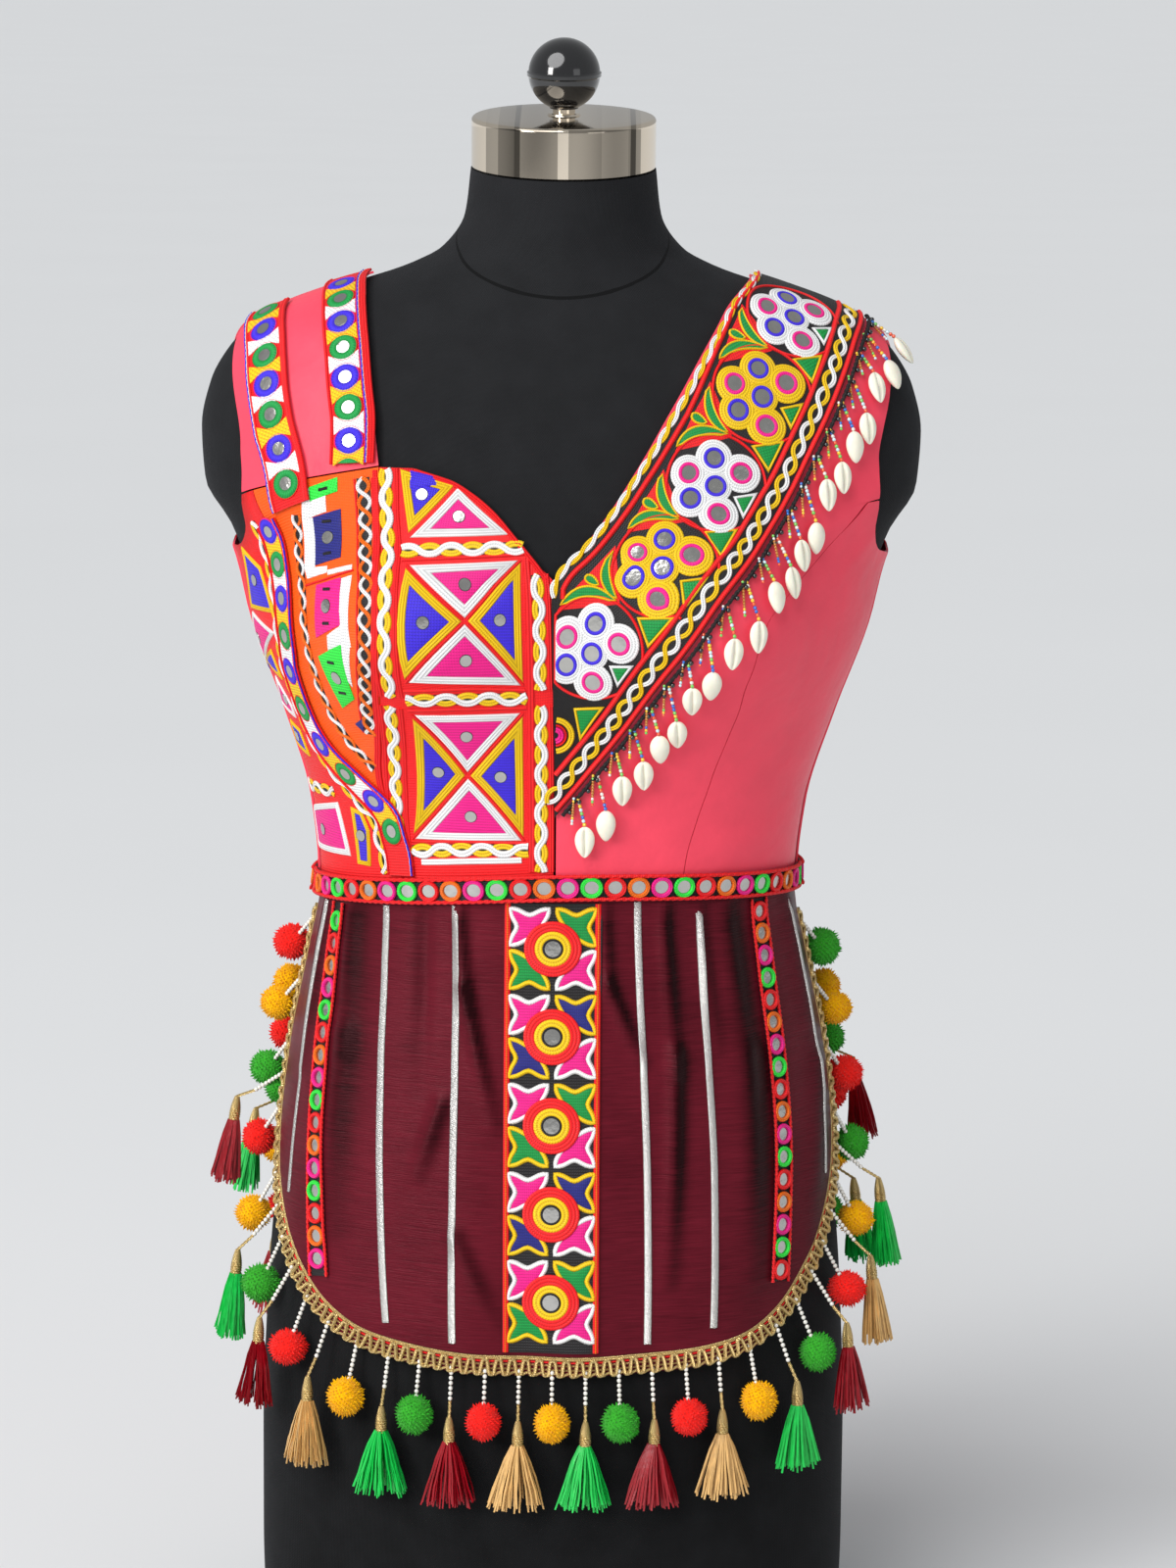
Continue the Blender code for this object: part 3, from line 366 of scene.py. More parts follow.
STRAP_RIBBON_INNER = ((-52.2, 661), (-54.2, 681), (-58.3, 699.3), (-65.0, 717), (-74.5, 730),
                      (-88.8, 738.7))


# %% Reading the tables
def line(table, count=None, fractions=None):
    """Places along a table of (bearing, level), evenly spaced or at the given fractions."""
    knots = np.array(table, float)
    steps = np.hypot(np.diff(knots[:, 0]) * DEGREE_LONG, np.diff(knots[:, 1]))
    travelled = np.concatenate([[0], np.cumsum(steps)])
    if fractions is None:
        fractions = np.linspace(0, 1, count)
    at = np.asarray(fractions) * travelled[-1]
    return np.stack([smooth(travelled, knots[:, k])(at) for k in (0, 1)], axis=-1)


def at_levels(table, levels):
    """Places where a seam crosses the levels."""
    knots = np.array(table, float)
    levels = np.asarray(levels, float)
    return np.stack([smooth(knots[:, 1], knots[:, 0])(levels), levels], axis=-1)


def mirrored(places):
    return np.asarray(places, float) * (-1, 1)


def finer(places, times):
    """The same row of places with more between them, on a curve through all of them."""
    at = np.arange(len(places))
    dense = np.linspace(0, len(places) - 1, (len(places) - 1) * times + 1)
    return np.stack([smooth(at, places[:, k])(dense) for k in (0, 1)], -1)


def beside(places, distance):
    """The places moved sideways over the skin, to the left of the direction of travel."""
    travel = unit(np.gradient(on_skin(places), axis=0))
    return moved(places, unit(np.cross(outward(places), travel)) * distance)


class Route:
    """A line on the chart with millimetres along it (s) and to its left (t)."""

    def __init__(self, places):
        self.places = places
        self.travelled = path_length(on_skin(places))
        self.length = self.travelled[-1]
        self.curves = [smooth(self.travelled, places[:, k]) for k in (0, 1)]

    def at(self, s, t=0.0):
        """The place s along and t to the left, straight on beyond either end."""
        s, t = np.broadcast_arrays(np.asarray(s, float), np.asarray(t, float))
        inside = np.clip(s, 0, self.length)
        here, ahead, behind = (np.stack([curve(inside + d) for curve in self.curves], -1)
                               for d in (0, 1.5, -1.5))
        travel = unit(on_skin(ahead) - on_skin(behind))
        left = unit(np.cross(outward(here), travel))
        return moved(here, left * t[..., None] + travel * (s - inside)[..., None])

    def steps(self, count, margin=0.0):
        """Evenly spaced millimetres, from one end less the margin to the other."""
        return np.linspace(margin, self.length - margin, count)

    def band(self, width, rows, columns):
        """A grid of places over a strip of the given width along the route."""
        s = self.steps(rows)[:, None]
        return self.at(s, np.linspace(-1, 1, columns + 1)[None] * width / 2)

    def nearest(self, place):
        """How far along the route the place lies."""
        away = np.linalg.norm(on_skin(self.places) - on_skin(np.asarray(place, float)), axis=-1)
        return self.travelled[np.argmin(away)]


# %% [markdown]
# ## Meshes
# Three kinds of surface make the whole garment: a wall of cloth between two grids of points, a
# profile carried along a path (cords, braids, rows of stitching), and a small raised patch laid
# out in rings round its middle (filled shapes, mirrors). A pile gathers many of them into one
# mesh, with a map coordinate in millimetres along and across the thread.

# %% Building a mesh from arrays
def build(name, points, quads, triangles, uv=None, sharp=50.0):
    """One mesh from arrays: the points, then quads and triangles as rows of corner numbers. The
    map has a row for each point, or for each corner of each face."""
    mesh = bpy.data.meshes.new(name)
    quads = np.asarray(quads, np.int32).reshape(-1, 4)
    triangles = np.asarray(triangles, np.int32).reshape(-1, 3)
    corners = np.concatenate([quads.ravel(), triangles.ravel()])
    sizes = np.concatenate([np.full(len(quads), 4), np.full(len(triangles), 3)])
    mesh.vertices.add(len(points))
    mesh.vertices.foreach_set("co", (np.asarray(points) * MM).astype(np.float32).ravel())
    mesh.loops.add(len(corners))
    mesh.loops.foreach_set("vertex_index", corners)
    mesh.polygons.add(len(sizes))
    mesh.polygons.foreach_set("loop_start", np.concatenate([[0], np.cumsum(sizes)[:-1]]))
    mesh.polygons.foreach_set("loop_total", sizes)
    mesh.update(calc_edges=True)
    if uv is not None:
        uv = uv if len(uv) == len(corners) else uv[corners]
        layer = mesh.uv_layers.new(name="thread")
        layer.data.foreach_set("uv", np.asarray(uv, np.float32).ravel())
    mesh.shade_smooth()
    mesh.set_sharp_from_angle(angle=math.radians(sharp))
    piece = bpy.data.objects.new(name, mesh)
    bpy.context.scene.collection.objects.link(piece)
    return piece


def finish_piece(piece, material, slot, *nodes):
    """Gives a piece its finish and its body, and hides the solids that it stands for; the slot is not
    used.
    """
    piece.data.materials.append(material)
    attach(piece, "root")
    if nodes:
        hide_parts(*nodes)
    return piece


def walls(index):
    """The faces between the rows of a grid of point numbers that closes on itself."""
    after = np.roll(index, -1, -1)
    return np.stack([index[..., :-1, :], index[..., 1:, :], after[..., 1:, :], after[..., :-1, :]], -1)


class Pile:
    """Gathers grids, tubes and patches into one mesh."""

    def __init__(self):
        self.points, self.uv, self.quads, self.triangles, self.count = [], [], [], [], 0

    def add(self, points, uv, quads, triangles=(), wrap=0.0, wrapped=0):
        """The last few quads, if they are wrapped, end where the whole began: their far corners
        lie one full length further along the map."""
        quads = np.asarray(quads, int).reshape(-1, 4)
        triangles = np.asarray(triangles, int).reshape(-1, 3)
        uv = np.broadcast_to(uv, (*points.shape[:-1], 2)).reshape(-1, 2)
        corners = uv[quads]
        if wrapped:
            corners[-wrapped:, 1:3, 0] += wrap
        self.points.append(points.reshape(-1, 3))
        self.uv.append((corners.reshape(-1, 2), uv[triangles].reshape(-1, 2)))
        self.quads.append(quads + self.count)
        self.triangles.append(triangles + self.count)
        self.count += self.points[-1].shape[0]

    def tube(self, rings, uv, closed=False):
        """A stack of closed rings, (steps, corners, 3): walls between them, and ends if open."""
        steps, corners = rings.shape[:2]
        index = np.arange(steps * corners).reshape(steps, corners)
        if closed:
            last_step = np.linalg.norm(rings[0] - rings[-1], axis=-1).mean()
            self.add(rings, uv, walls(np.concatenate([index, index[:1]])), (),
                     uv[-1, 0, 0] - uv[0, 0, 0] + last_step, corners)
            return
        first, last = index[0], index[-1]
        self.add(rings, uv, walls(index), np.concatenate([
            np.stack([np.full(corners - 2, first[0]), first[1:-1], first[2:]], -1),
            np.stack([np.full(corners - 2, last[0]), last[2:], last[1:-1]], -1)]))

    def object(self, name, material, slot, *nodes, sharp=50.0):
        uv = np.concatenate([part[k] for k in (0, 1) for part in self.uv])
        piece = build(name, np.concatenate(self.points), np.concatenate(self.quads),
                      np.concatenate(self.triangles), uv, sharp)
        return finish_piece(piece, material, slot, *nodes)


# %% A wall of cloth
SEAM = 0.25


def pull_in(grid, distance):
    """Moves the rim of a grid inwards, so that a seam keeps its gap."""
    grid = grid.copy()
    for edge, inner in ((np.s_[:, 0], np.s_[:, 1]), (np.s_[:, -1], np.s_[:, -2]),
                        (np.s_[0], np.s_[1]), (np.s_[-1], np.s_[-2])):
        inward = grid[inner] - grid[edge]
        length = np.linalg.norm(inward, axis=-1, keepdims=True)
        grid[edge] += inward / length * np.minimum(distance, length * 0.4)
    return grid


def between(left, right, columns):
    """A grid of places: each row runs evenly from the left line to the right line."""
    across = np.linspace(0, 1, columns + 1)[None, :, None]
    return left[:, None] * (1 - across) + right[:, None] * across


CUTS_FLAT = {}                                 # for each wall of cloth: width, length and area


def measure_flat(name, grid):
    """The size of the cut in metres: longest row, longest column, and the sum of the areas of
    the little four-sided faces."""
    rows = np.linalg.norm(np.diff(grid, axis=1), axis=-1).sum(1)
    columns = np.linalg.norm(np.diff(grid, axis=0), axis=-1).sum(0)
    diagonals = grid[1:, 1:] - grid[:-1, :-1], grid[1:, :-1] - grid[:-1, 1:]
    area = np.linalg.norm(np.cross(*diagonals), axis=-1).sum() / 2
    CUTS_FLAT[name] = rows.max() * MM, columns.max() * MM, area * MM ** 2


def declare_cloth(name, held, rests_on, starts):
    """Prints the size that was cut of a piece of cloth, and how it is held. What is made of thread,
    beads or wool and has a name that starts in one of these ways is gathered, but nothing is done with it."""
    width, length, area = CUTS_FLAT[name]
    share = min(area, width * length)
    pieces = [piece for piece in bpy.data.objects
              if piece.name.startswith(tuple(starts)) and piece.name not in CUTS_FLAT]
    bpy.data.objects[name]
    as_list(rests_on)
    print(f"sheet {name}, {held}: {width:.3f} x {length:.3f} m, {share * 1e4:.0f} square cm")


def cloth_wall(name, places, stand, under=0.0, thick=CLOTH):
    """A closed wall: the inner grid, the same grid moved out by the thickness, and a rim."""
    low = stand(places) + under
    inner = pull_in(standing(places, low), SEAM)
    outer = pull_in(standing(places, low + thick), SEAM)
    measure_flat(name, (inner + outer) / 2)
    rows, columns = inner.shape[:2]
    index = np.arange(rows * columns).reshape(rows, columns)
    quads = np.stack([index[:-1, :-1], index[:-1, 1:], index[1:, 1:], index[1:, :-1]], -1)
    rim = np.concatenate([index[0, :-1], index[:-1, -1], index[-1, :0:-1], index[:0:-1, 0]])
    after = np.roll(rim, -1)
    faces = np.concatenate([quads.reshape(-1, 4) + rows * columns,
                            quads.reshape(-1, 4)[:, ::-1],
                            np.stack([rim, after, after + rows * columns, rim + rows * columns], -1)])
    s = np.linalg.norm(np.diff(outer, axis=1, prepend=outer[:, :1]), axis=-1).cumsum(1)
    t = np.linalg.norm(np.diff(outer, axis=0, prepend=outer[:1]), axis=-1).cumsum(0)
    uv = np.stack([s, t], -1).reshape(-1, 2)
    return build(name, np.concatenate([inner.reshape(-1, 3), outer.reshape(-1, 3)]), faces, [],
                 np.concatenate([uv, uv]))


# %% [markdown]
# ## Writing finishes
# A finish is a Principled shader whose constants are set on its own sockets, and whose relief
# comes from sums written as plain Python: a small class wraps a socket so that + - * / add the
# Math nodes.

# %% Sockets as numbers
class Value:
    """A socket that can be added, multiplied and compared like a number."""

    def __init__(self, finish, socket):
        self.finish, self.socket = finish, socket

    def maths(self, operation, *others):
        return self.finish.node("ShaderNodeMath", {"operation": operation}, *(self, *others))

    def __add__(self, other):
        return self.maths("ADD", other)

    def __sub__(self, other):
        return self.maths("SUBTRACT", other)

    def __rsub__(self, other):
        return self.maths("MULTIPLY", -1.0) + other

    def __mul__(self, other):
        return self.maths("MULTIPLY", other)

    def __truediv__(self, other):
        return self.maths("DIVIDE", other)

    def __pow__(self, other):
        return self.maths("POWER", other)

    __radd__, __rmul__ = __add__, __mul__

    def sine(self):
        return self.maths("SINE")

    def size(self):
        return self.maths("ABSOLUTE")

    def part(self):
        """What is left above the whole number below."""
        return self.maths("FRACT")


class Finish:
    """A material while it is being written."""

    def __init__(self, name, colour, roughness, metallic=0.0, **constants):
        self.material = bpy.data.materials.new(name)
        self.material.use_nodes = True
        self.nodes = self.material.node_tree.nodes
        self.links = self.material.node_tree.links
        self.shader = self.nodes["Principled BSDF"]
        self.colour = colour
        constants.update(Base_Color=(*colour, 1), Roughness=roughness, Metallic=metallic)
        for socket, value in constants.items():
            self.shader.inputs[socket.replace("_", " ")].default_value = value

    def node(self, kind, settings=None, *values, output=0, **named):
        """Any node: its type, its settings, then the values or links of its sockets."""
        node = self.nodes.new(kind)
        for key, value in (settings or {}).items():
            setattr(node, key, value)
        for key, value in [*enumerate(values), *named.items()]:
            socket = node.inputs[key] if isinstance(key, int) else node.inputs[key.replace("_", " ")]
            if isinstance(value, Value):
                self.links.new(value.socket, socket)
            else:
                socket.default_value = value
        return Value(self, node.outputs[output])

    def place(self):
        return self.node("ShaderNodeTexCoord", output="Object")

    def thread_map(self):
        return self.node("ShaderNodeTexCoord", output="UV")

    def axes(self, vector):
        return [self.node("ShaderNodeSeparateXYZ", None, vector, output=k) for k in range(3)]

    def noise(self, vector, scale, detail=2.0, stretch=None):
        if stretch:
            vector = self.node("ShaderNodeMapping", None, vector, Scale=stretch)
        return self.node("ShaderNodeTexNoise", None, Vector=vector, Scale=scale, Detail=detail)

    def shade(self, mask, dark, light):
        """Colour that runs from the base colour times dark to the base colour times light."""
        ends = [tuple(min(1.0, channel * k) for channel in self.colour) + (1,) for k in (dark, light)]
        mixed = self.node("ShaderNodeMix", {"data_type": "RGBA"}, output=2)
        mix = mixed.socket.node
        self.links.new(mask.socket, mix.inputs[0])
        mix.inputs[6].default_value, mix.inputs[7].default_value = ends
        self.links.new(mixed.socket, self.shader.inputs["Base Color"])
        return self

    def relief(self, height, distance, strength=1.0):
        bump = self.node("ShaderNodeBump", None, Strength=strength, Distance=distance,
                         Height=height, output="Normal")
        self.links.new(bump.socket, self.shader.inputs["Normal"])
        return self


# %% [markdown]
# ## The finishes
# Black knitted jersey, satin, slubbed silk, stranded cotton in ten colours, chrome, metal thread,
# wool, floss, glass, shell and mirror. Each reads the object's own coordinates, or the map that
# runs along its thread.

# %% Cloth finishes
WALES, COURSES = 5200.0, 4200.0                # stitches of the knit, in radians to a metre
SEAM_LEVEL, SEAM_HALF = 0.7727, 0.0006         # the neck's seam: its height, half its width, metres
SEAM_RISE, SEAM_BEND = 0.5, 1.9


def jersey():
    """Knit in fine ribs, with painted shade that darkens it towards the foot, and with the seam that joins
    the neck to the chest: it rises in a straight line to the back and in a parabola to the sides."""
    f = Finish("black_jersey_knit", (0.0085, 0.0088, 0.0098), 0.85, Sheen_Weight=0.06,
               Sheen_Roughness=0.5, Sheen_Tint=(0.35, 0.37, 0.42, 1), Specular_IOR_Level=0.16)
    x, y, z = f.axes(f.place())
    knit = (x * WALES).sine() * (z * COURSES).sine() + (y * WALES).sine() * 0.6
    seam = (z - y * SEAM_RISE - x * x * SEAM_BEND - SEAM_LEVEL).size().maths("LESS_THAN", SEAM_HALF)
    # Painted shade: the colour grows lighter with the height z, so the jersey is darker towards the foot.
    # The seam is a dark line, and the noise varies the tone.
    f.shade(f.noise(f.place(), 60.0, 4.0) * 0.7 + z * 1.1 - 0.28 - seam, 0.3, 1.5)
    return f.relief(knit + f.noise(f.place(), 900.0) * 1.5 - seam * 4.0, 0.00012, 0.5).material


SATIN_WEAVE = 9000.0


def satin(name, colour):
    """A close weave over a slow rumple, with a fine pebble between the two."""
    f = Finish(name, colour, 0.42, Sheen_Weight=0.05, Sheen_Roughness=0.35,
               Sheen_Tint=(1.0, 0.72, 0.76, 1), Specular_IOR_Level=0.22)
    x, y, z = f.axes(f.place())
    weave = ((x + y) * SATIN_WEAVE).sine() + (z * SATIN_WEAVE).sine()
    rumple = f.noise(f.place(), 45.0, 3.0)
    f.shade(rumple, 0.9, 1.12)
    pebble = f.noise(f.place(), 420.0) * 0.35
    return f.relief(weave * 0.04 + rumple * 6.0 + pebble, 0.0004, 0.55).material


def slubbed_silk():
    """Slubs are noise drawn out along the weft. Beside each fold the colour is darkened as painted shade,
    which is worked out for each point of a flap."""
    f = Finish("slubbed_silk", (0.082, 0.0052, 0.0115), 0.36, Sheen_Weight=0.05,
               Sheen_Roughness=0.3, Sheen_Tint=(0.7, 0.05, 0.1, 1), Specular_IOR_Level=0.16,
               Specular_Tint=(1.0, 0.4, 0.45, 1))
    slub = f.noise(f.place(), 60.0, 3.0, stretch=(1.0, 1.0, 28.0))
    fine = f.noise(f.place(), 260.0, 2.0, stretch=(1.0, 1.0, 9.0))
    cloud = f.noise(f.place(), 26.0, 3.0)
    # Painted shade: the attribute turned holds how dark the silk is painted beside each fold, and cloud
    # makes it uneven.
    turned = f.node("ShaderNodeAttribute", {"attribute_name": "turned"}, output="Fac")
    away = turned * (cloud * 1.2 + 0.4) * 0.62
    f.shade(slub * 0.62 + cloud * 0.5 - away - 0.05, 0.12, 2.2)
    return f.relief(slub + fine * 0.5, 0.0005, 0.6).material


ROW, STITCH = 1.5, 1.25                        # a row's width and a stitch's length, millimetres


def thread(name, colour, dark=0.42):
    """Chain stitch: in each row the stitches are V shapes, so the relief is a saw along the
    thread, delayed by the distance from the row's middle."""
    f = Finish(name, colour, 0.5, Sheen_Weight=0.08, Sheen_Roughness=0.4, Specular_IOR_Level=0.35,
               Sheen_Tint=(*(min(1.0, c * 0.6 + 0.4) for c in colour), 1))
    u, v, _ = f.axes(f.thread_map())
    aside = ((v / ROW).part() - 0.5).size()
    stitch = ((u / STITCH + aside * 1.1).part() - 0.5).size()
    strand = f.noise(f.thread_map(), 3.2, 1.0)
    # Painted shade: the colour darkens in the grooves between stitches and between rows, and the strand
    # noise varies the tone.
    f.shade(stitch * -0.9 + aside * -1.1 + strand * 0.6 + 0.86, dark, 1.28)
    return f.relief(stitch * -0.7 + aside * -0.8 + strand * 0.2, 0.0006, 0.9).material


def bright(colour):
    """From a colour as it looks on a screen, in 255ths, to the light that it reflects."""
    c = np.asarray(colour, float) / 255
    return tuple(np.where(c <= 0.04045, c / 12.92, ((c + 0.055) / 1.055) ** 2.4).tolist())


JERSEY = jersey()
PINK_SATIN = satin("coral_satin", bright((244, 74, 96)))
SILK = slubbed_silk()
RED = (240, 18, 24)
COTTON_THREAD = {name: thread(name + "_cotton", bright(colour)) for name, colour in (
    ("red", RED), ("white", (243, 243, 243)), ("yellow", (255, 190, 10)),
    ("magenta", (255, 22, 134)), ("violet", (58, 36, 206)), ("navy", (30, 34, 120)),
    ("green", (8, 142, 62)), ("lime", (44, 222, 66)), ("orange", (255, 106, 10)),
    ("black", (24, 22, 24)))}
# The grounds get less painted shade in their grooves.
RED_GROUND = thread("red_ground", bright(RED), dark=0.66)
ORANGE_GROUND = thread("orange_ground", bright((255, 84, 0)), dark=0.95)


# %% Metal, glass, wool and shell
def mirror_glass():
    """Small mirrors are cut from a blown ball, so they ripple and catch different lights."""
    f = Finish("mirror_glass", (0.54, 0.53, 0.505), 0.2, 1.0)
    ripple = f.noise(f.place(), 210.0)
    f.shade(ripple, 0.86, 1.1)
    return f.relief(ripple, 0.0002, 1.6).material


CAP_CROWN, CAP_RIM = 0.8298, 0.0405            # metres: up to the cap's flat top, out to its sides
CAP_PAINTED_REFLECTIONS = (
    # painted reflection stripes: middle, half width, gain
    (0.0, 0.0028, 0.5), (-0.0285, 0.0055, -0.24), (-0.024, 0.0015, -0.3), (0.027, 0.007, 0.1),
    (0.0365, 0.0014, -0.45),
)


def polished_chrome():
    """Chrome with a painted reflection: upright light and dark stripes painted across the cap, as windows
    and dark walls look in it.
    """
    f = Finish("polished_chrome", (0.50, 0.44, 0.36), 0.09, 1.0)
    x, _, z = f.axes(f.place())
    # Painted reflection: these stripes, and the brown tint of the colour, stand for a room seen in the
    # chrome.
    painted_reflection = (x * 150.0 + 0.6).sine() * 0.14 + 0.3
    for middle, half, gain in CAP_PAINTED_REFLECTIONS:
        painted_reflection = painted_reflection + (x - middle).size().maths("LESS_THAN", half) * gain
    # Painted highlight: the rims and the flat top are lighter.
    painted_rim_light = x.size().maths("GREATER_THAN", CAP_RIM) * 0.5
    crown = z.maths("GREATER_THAN", CAP_CROWN) * 0.5
    f.shade(painted_reflection + painted_rim_light + crown, 0.16, 1.9)
    return f.material


def metal_thread(name, colour, roughness):
    """Metal foil wound round a core: fine diagonal ridges along the thread."""
    f = Finish(name, colour, roughness, 0.75, Specular_Tint=(1, 1, 1, 1))
    u, v, _ = f.axes(f.thread_map())
    wind = ((u * 1.1 + v * 0.5) * 6.0).sine()
    glint = f.noise(f.thread_map(), 1.6, 2.0)
    # Painted highlight and shade: the colour is lighter and darker along the ridges of the winding and in
    # spots of glint.
    f.shade(wind * 0.22 + glint * 0.9, 0.45, 1.45)
    return f.relief(wind * 0.5 + glint, 0.0004, 0.8).material


def glossy(name, colour, roughness, coat):
    """Lacquer, glass or pearl: a clear coat over a colour that hardly varies."""
    f = Finish(name, colour, roughness, Coat_Weight=coat, Coat_Roughness=0.06)
    f.shade(f.noise(f.place(), 220.0, 2.0), 0.9, 1.08)
    return f.material


def wool(name, colour):
    """Cut wool: rough, with a strong sheen and lighter tufts."""
    f = Finish(name, colour, 0.95, Sheen_Weight=0.8, Sheen_Roughness=0.5,
               Sheen_Tint=(*(min(1.0, c * 0.7 + 0.15) for c in colour), 1), Specular_IOR_Level=0.1)
    tuft = f.noise(f.place(), 900.0, 3.0)
    f.shade(tuft, 0.78, 1.5)
    return f.relief(tuft, 0.0012, 0.8).material


def floss(name, colour):
    """Silk strands: noise drawn out along the drop."""
    f = Finish(name, colour, 0.38, Sheen_Weight=0.16, Sheen_Roughness=0.3,
               Sheen_Tint=(*(min(1.0, c * 0.7 + 0.12) for c in colour), 1), Specular_IOR_Level=0.45)
    strand = f.noise(f.place(), 700.0, 2.0, stretch=(1.0, 1.0, 0.12))
    f.shade(strand, 0.55, 1.5)
    return f.relief(strand, 0.0005, 0.7).material


def shell_finish():
    f = Finish("cowrie_enamel", bright((250, 243, 224)), 0.22, Coat_Weight=0.5, Coat_Roughness=0.1,
               Subsurface_Weight=0.12, Subsurface_Scale=0.002)
    f.shade(f.noise(f.place(), 160.0, 3.0), 0.82, 1.1)
    return f.material


CHROME = polished_chrome()
MIRROR = mirror_glass()
KNOB_BLACK = glossy("black_lacquer", (0.006, 0.006, 0.007), 0.12, 0.9)
SILVER = metal_thread("silver_gota_thread", (0.90, 0.86, 0.77), 0.24)
GOLD = metal_thread("gold_thread", (0.92, 0.55, 0.23), 0.3)
PEARL = glossy("pearl_bead", (0.80, 0.78, 0.72), 0.25, 0.8)
SHELL = shell_finish()
GLASS = {name: glossy(name + "_glass_bead", bright(colour), 0.12, 0.9) for name, colour in (
    ("blue", (40, 110, 200)), ("ice", (200, 232, 240)), ("grass", (120, 200, 90)),
    ("sun", (244, 196, 50)), ("coral", (232, 90, 50)), ("amber", (190, 120, 40)),
    ("jet", (14, 14, 16)))}
WOOL = {name: wool(name + "_wool", bright(colour)) for name, colour in (
    ("yellow", (255, 170, 4)), ("green", (50, 152, 40)), ("red", (244, 32, 26)))}
FLOSS = {name: floss(name + "_floss", bright(colour)) for name, colour in (
    ("green", (20, 184, 74)), ("maroon", (140, 2, 20)), ("beige", (206, 164, 102)))}
print("finishes:", len(bpy.data.materials))

# %% [markdown]
# ## The dress form
# Smooth black jersey pulled over a moulded bust. The neck is covered separately, which leaves a
# fine ring seam where it meets the shoulders. On top sit a chromed collar and a turned knob,
# both leaning forward a few degrees with the neck.

# %% The body of the form
BODY_SIDES, BODY_ROWS = 144, 150
NECK_SEAM_LOW, NECK_SEAM_HIGH = 748.0, 764.0
SEAM_DEEP, SEAM_WIDE = 0.7, 1.1


def form_body():
    """Rings of the superellipse, closer together where the shoulders turn into the neck. The
    seam is a groove: a narrow bell taken off where the height passes the seam's own height."""
    share = np.linspace(0, 1, BODY_ROWS)
    height = smooth((0, 0.45, 0.62, 0.9, 1), (0, 480, 660, 772, NECK_TOP))(share)
    turn, height = np.meshgrid(np.linspace(np.pi, -np.pi, BODY_SIDES, endpoint=False), height)
    seam = NECK_SEAM_LOW + (NECK_SEAM_HIGH - NECK_SEAM_LOW) * (1 - np.cos(turn)) / 2
    groove = SEAM_DEEP * np.exp(-((height - seam) / SEAM_WIDE) ** 2)
    radius = form_radius(turn, height) - groove
    points = np.stack([radius * np.sin(turn), -radius * np.cos(turn), height], -1)
    lean = np.clip((height - NECK_TILT_START) / (NECK_TOP - NECK_TILT_START), 0, 1)
    points[..., 2] += math.tan(NECK_TILT) * points[..., 1] * lean
    pile = Pile()
    pile.tube(points, np.stack([turn, height], -1))
    return pile.object("dress_form_body", JERSEY, "black_jersey", "form_torso")


form_body()


# %% Turned pieces on the neck
CAP_RADIUS, CAP_TALL = 48.8, 27.0
KNOB_RADIUS, STEM_RADIUS, STEM_TALL = 19.0, 6.0, 4.0
TURN_SIDES = 64


def turned(name, profile, material, slot, node):
    """A profile of (radius, height) turned round the neck's leaning axis."""
    radius, height = np.array(profile, float).T
    turn = -full_turn(TURN_SIDES)
    x, y = radius[:, None] * np.cos(turn), radius[:, None] * np.sin(turn)
    z = np.broadcast_to(height[:, None], x.shape)
    lean_cos, lean_sin = math.cos(NECK_TILT), math.sin(NECK_TILT)
    rings = np.stack([x, y * lean_cos - z * lean_sin, y * lean_sin + z * lean_cos + NECK_TOP], -1)
    pile = Pile()
    pile.tube(rings, np.stack([np.broadcast_to(turn, x.shape), z], -1))
    return pile.object(name, material, slot, node, sharp=35)


def arc(middle, radius, start, end, count):
    """Points of a circle about (radius, height), from one angle to another in degrees."""
    angle = np.radians(np.linspace(start, end, count))
    return [(middle[0] + radius * math.cos(a), middle[1] + radius * math.sin(a)) for a in angle]


CAP_TOP = AIR + CAP_TALL
STEM_TOP = CAP_TOP + STEM_TALL
CAP_ROUND = 2.2                                # radius of the cap's upper edge
turned("neck_collar", [
    (2, AIR), (CAP_RADIUS - 1, AIR), (CAP_RADIUS, AIR + 1), (CAP_RADIUS, CAP_TOP - CAP_ROUND - 0.2),
    *arc((CAP_RADIUS - CAP_ROUND, CAP_TOP - CAP_ROUND), CAP_ROUND, 8, 90, 7),
    (CAP_RADIUS - 14, CAP_TOP + 0.3), (20, CAP_TOP + 0.6), (STEM_RADIUS + 3, CAP_TOP + 0.7),
    (STEM_RADIUS + 2.4, CAP_TOP + 1.6), (STEM_RADIUS, CAP_TOP + 2.0), (STEM_RADIUS, STEM_TOP),
    (2, STEM_TOP)], CHROME, "neck_chrome", "form_neck_cap")
KNOB_LOW = STEM_TOP + AIR
KNOB_MIDDLE = (0.0, KNOB_LOW + KNOB_RADIUS - 1.0)
KNOB_RIM = KNOB_RADIUS + 0.7                   # a low ridge round the knob's middle
turned("neck_knob", [
    (2, KNOB_LOW), (STEM_RADIUS + 1.6, KNOB_LOW), *arc(KNOB_MIDDLE, KNOB_RADIUS, -66, -5, 12),
    (KNOB_RIM, KNOB_MIDDLE[1] - 0.9), (KNOB_RIM, KNOB_MIDDLE[1] + 0.9),
    *arc(KNOB_MIDDLE, KNOB_RADIUS, 5, 86, 14)], KNOB_BLACK, "black_gloss", "form_knob")

# %% [markdown]
# ## The bodice panels
# The maker cut six panels for the front and two for the back. Each shell here is the same cut
# on a finer grid, 1.2 mm thick, with the creases that worn satin shows: short pulls at the
# armholes and faint drags towards the seams.

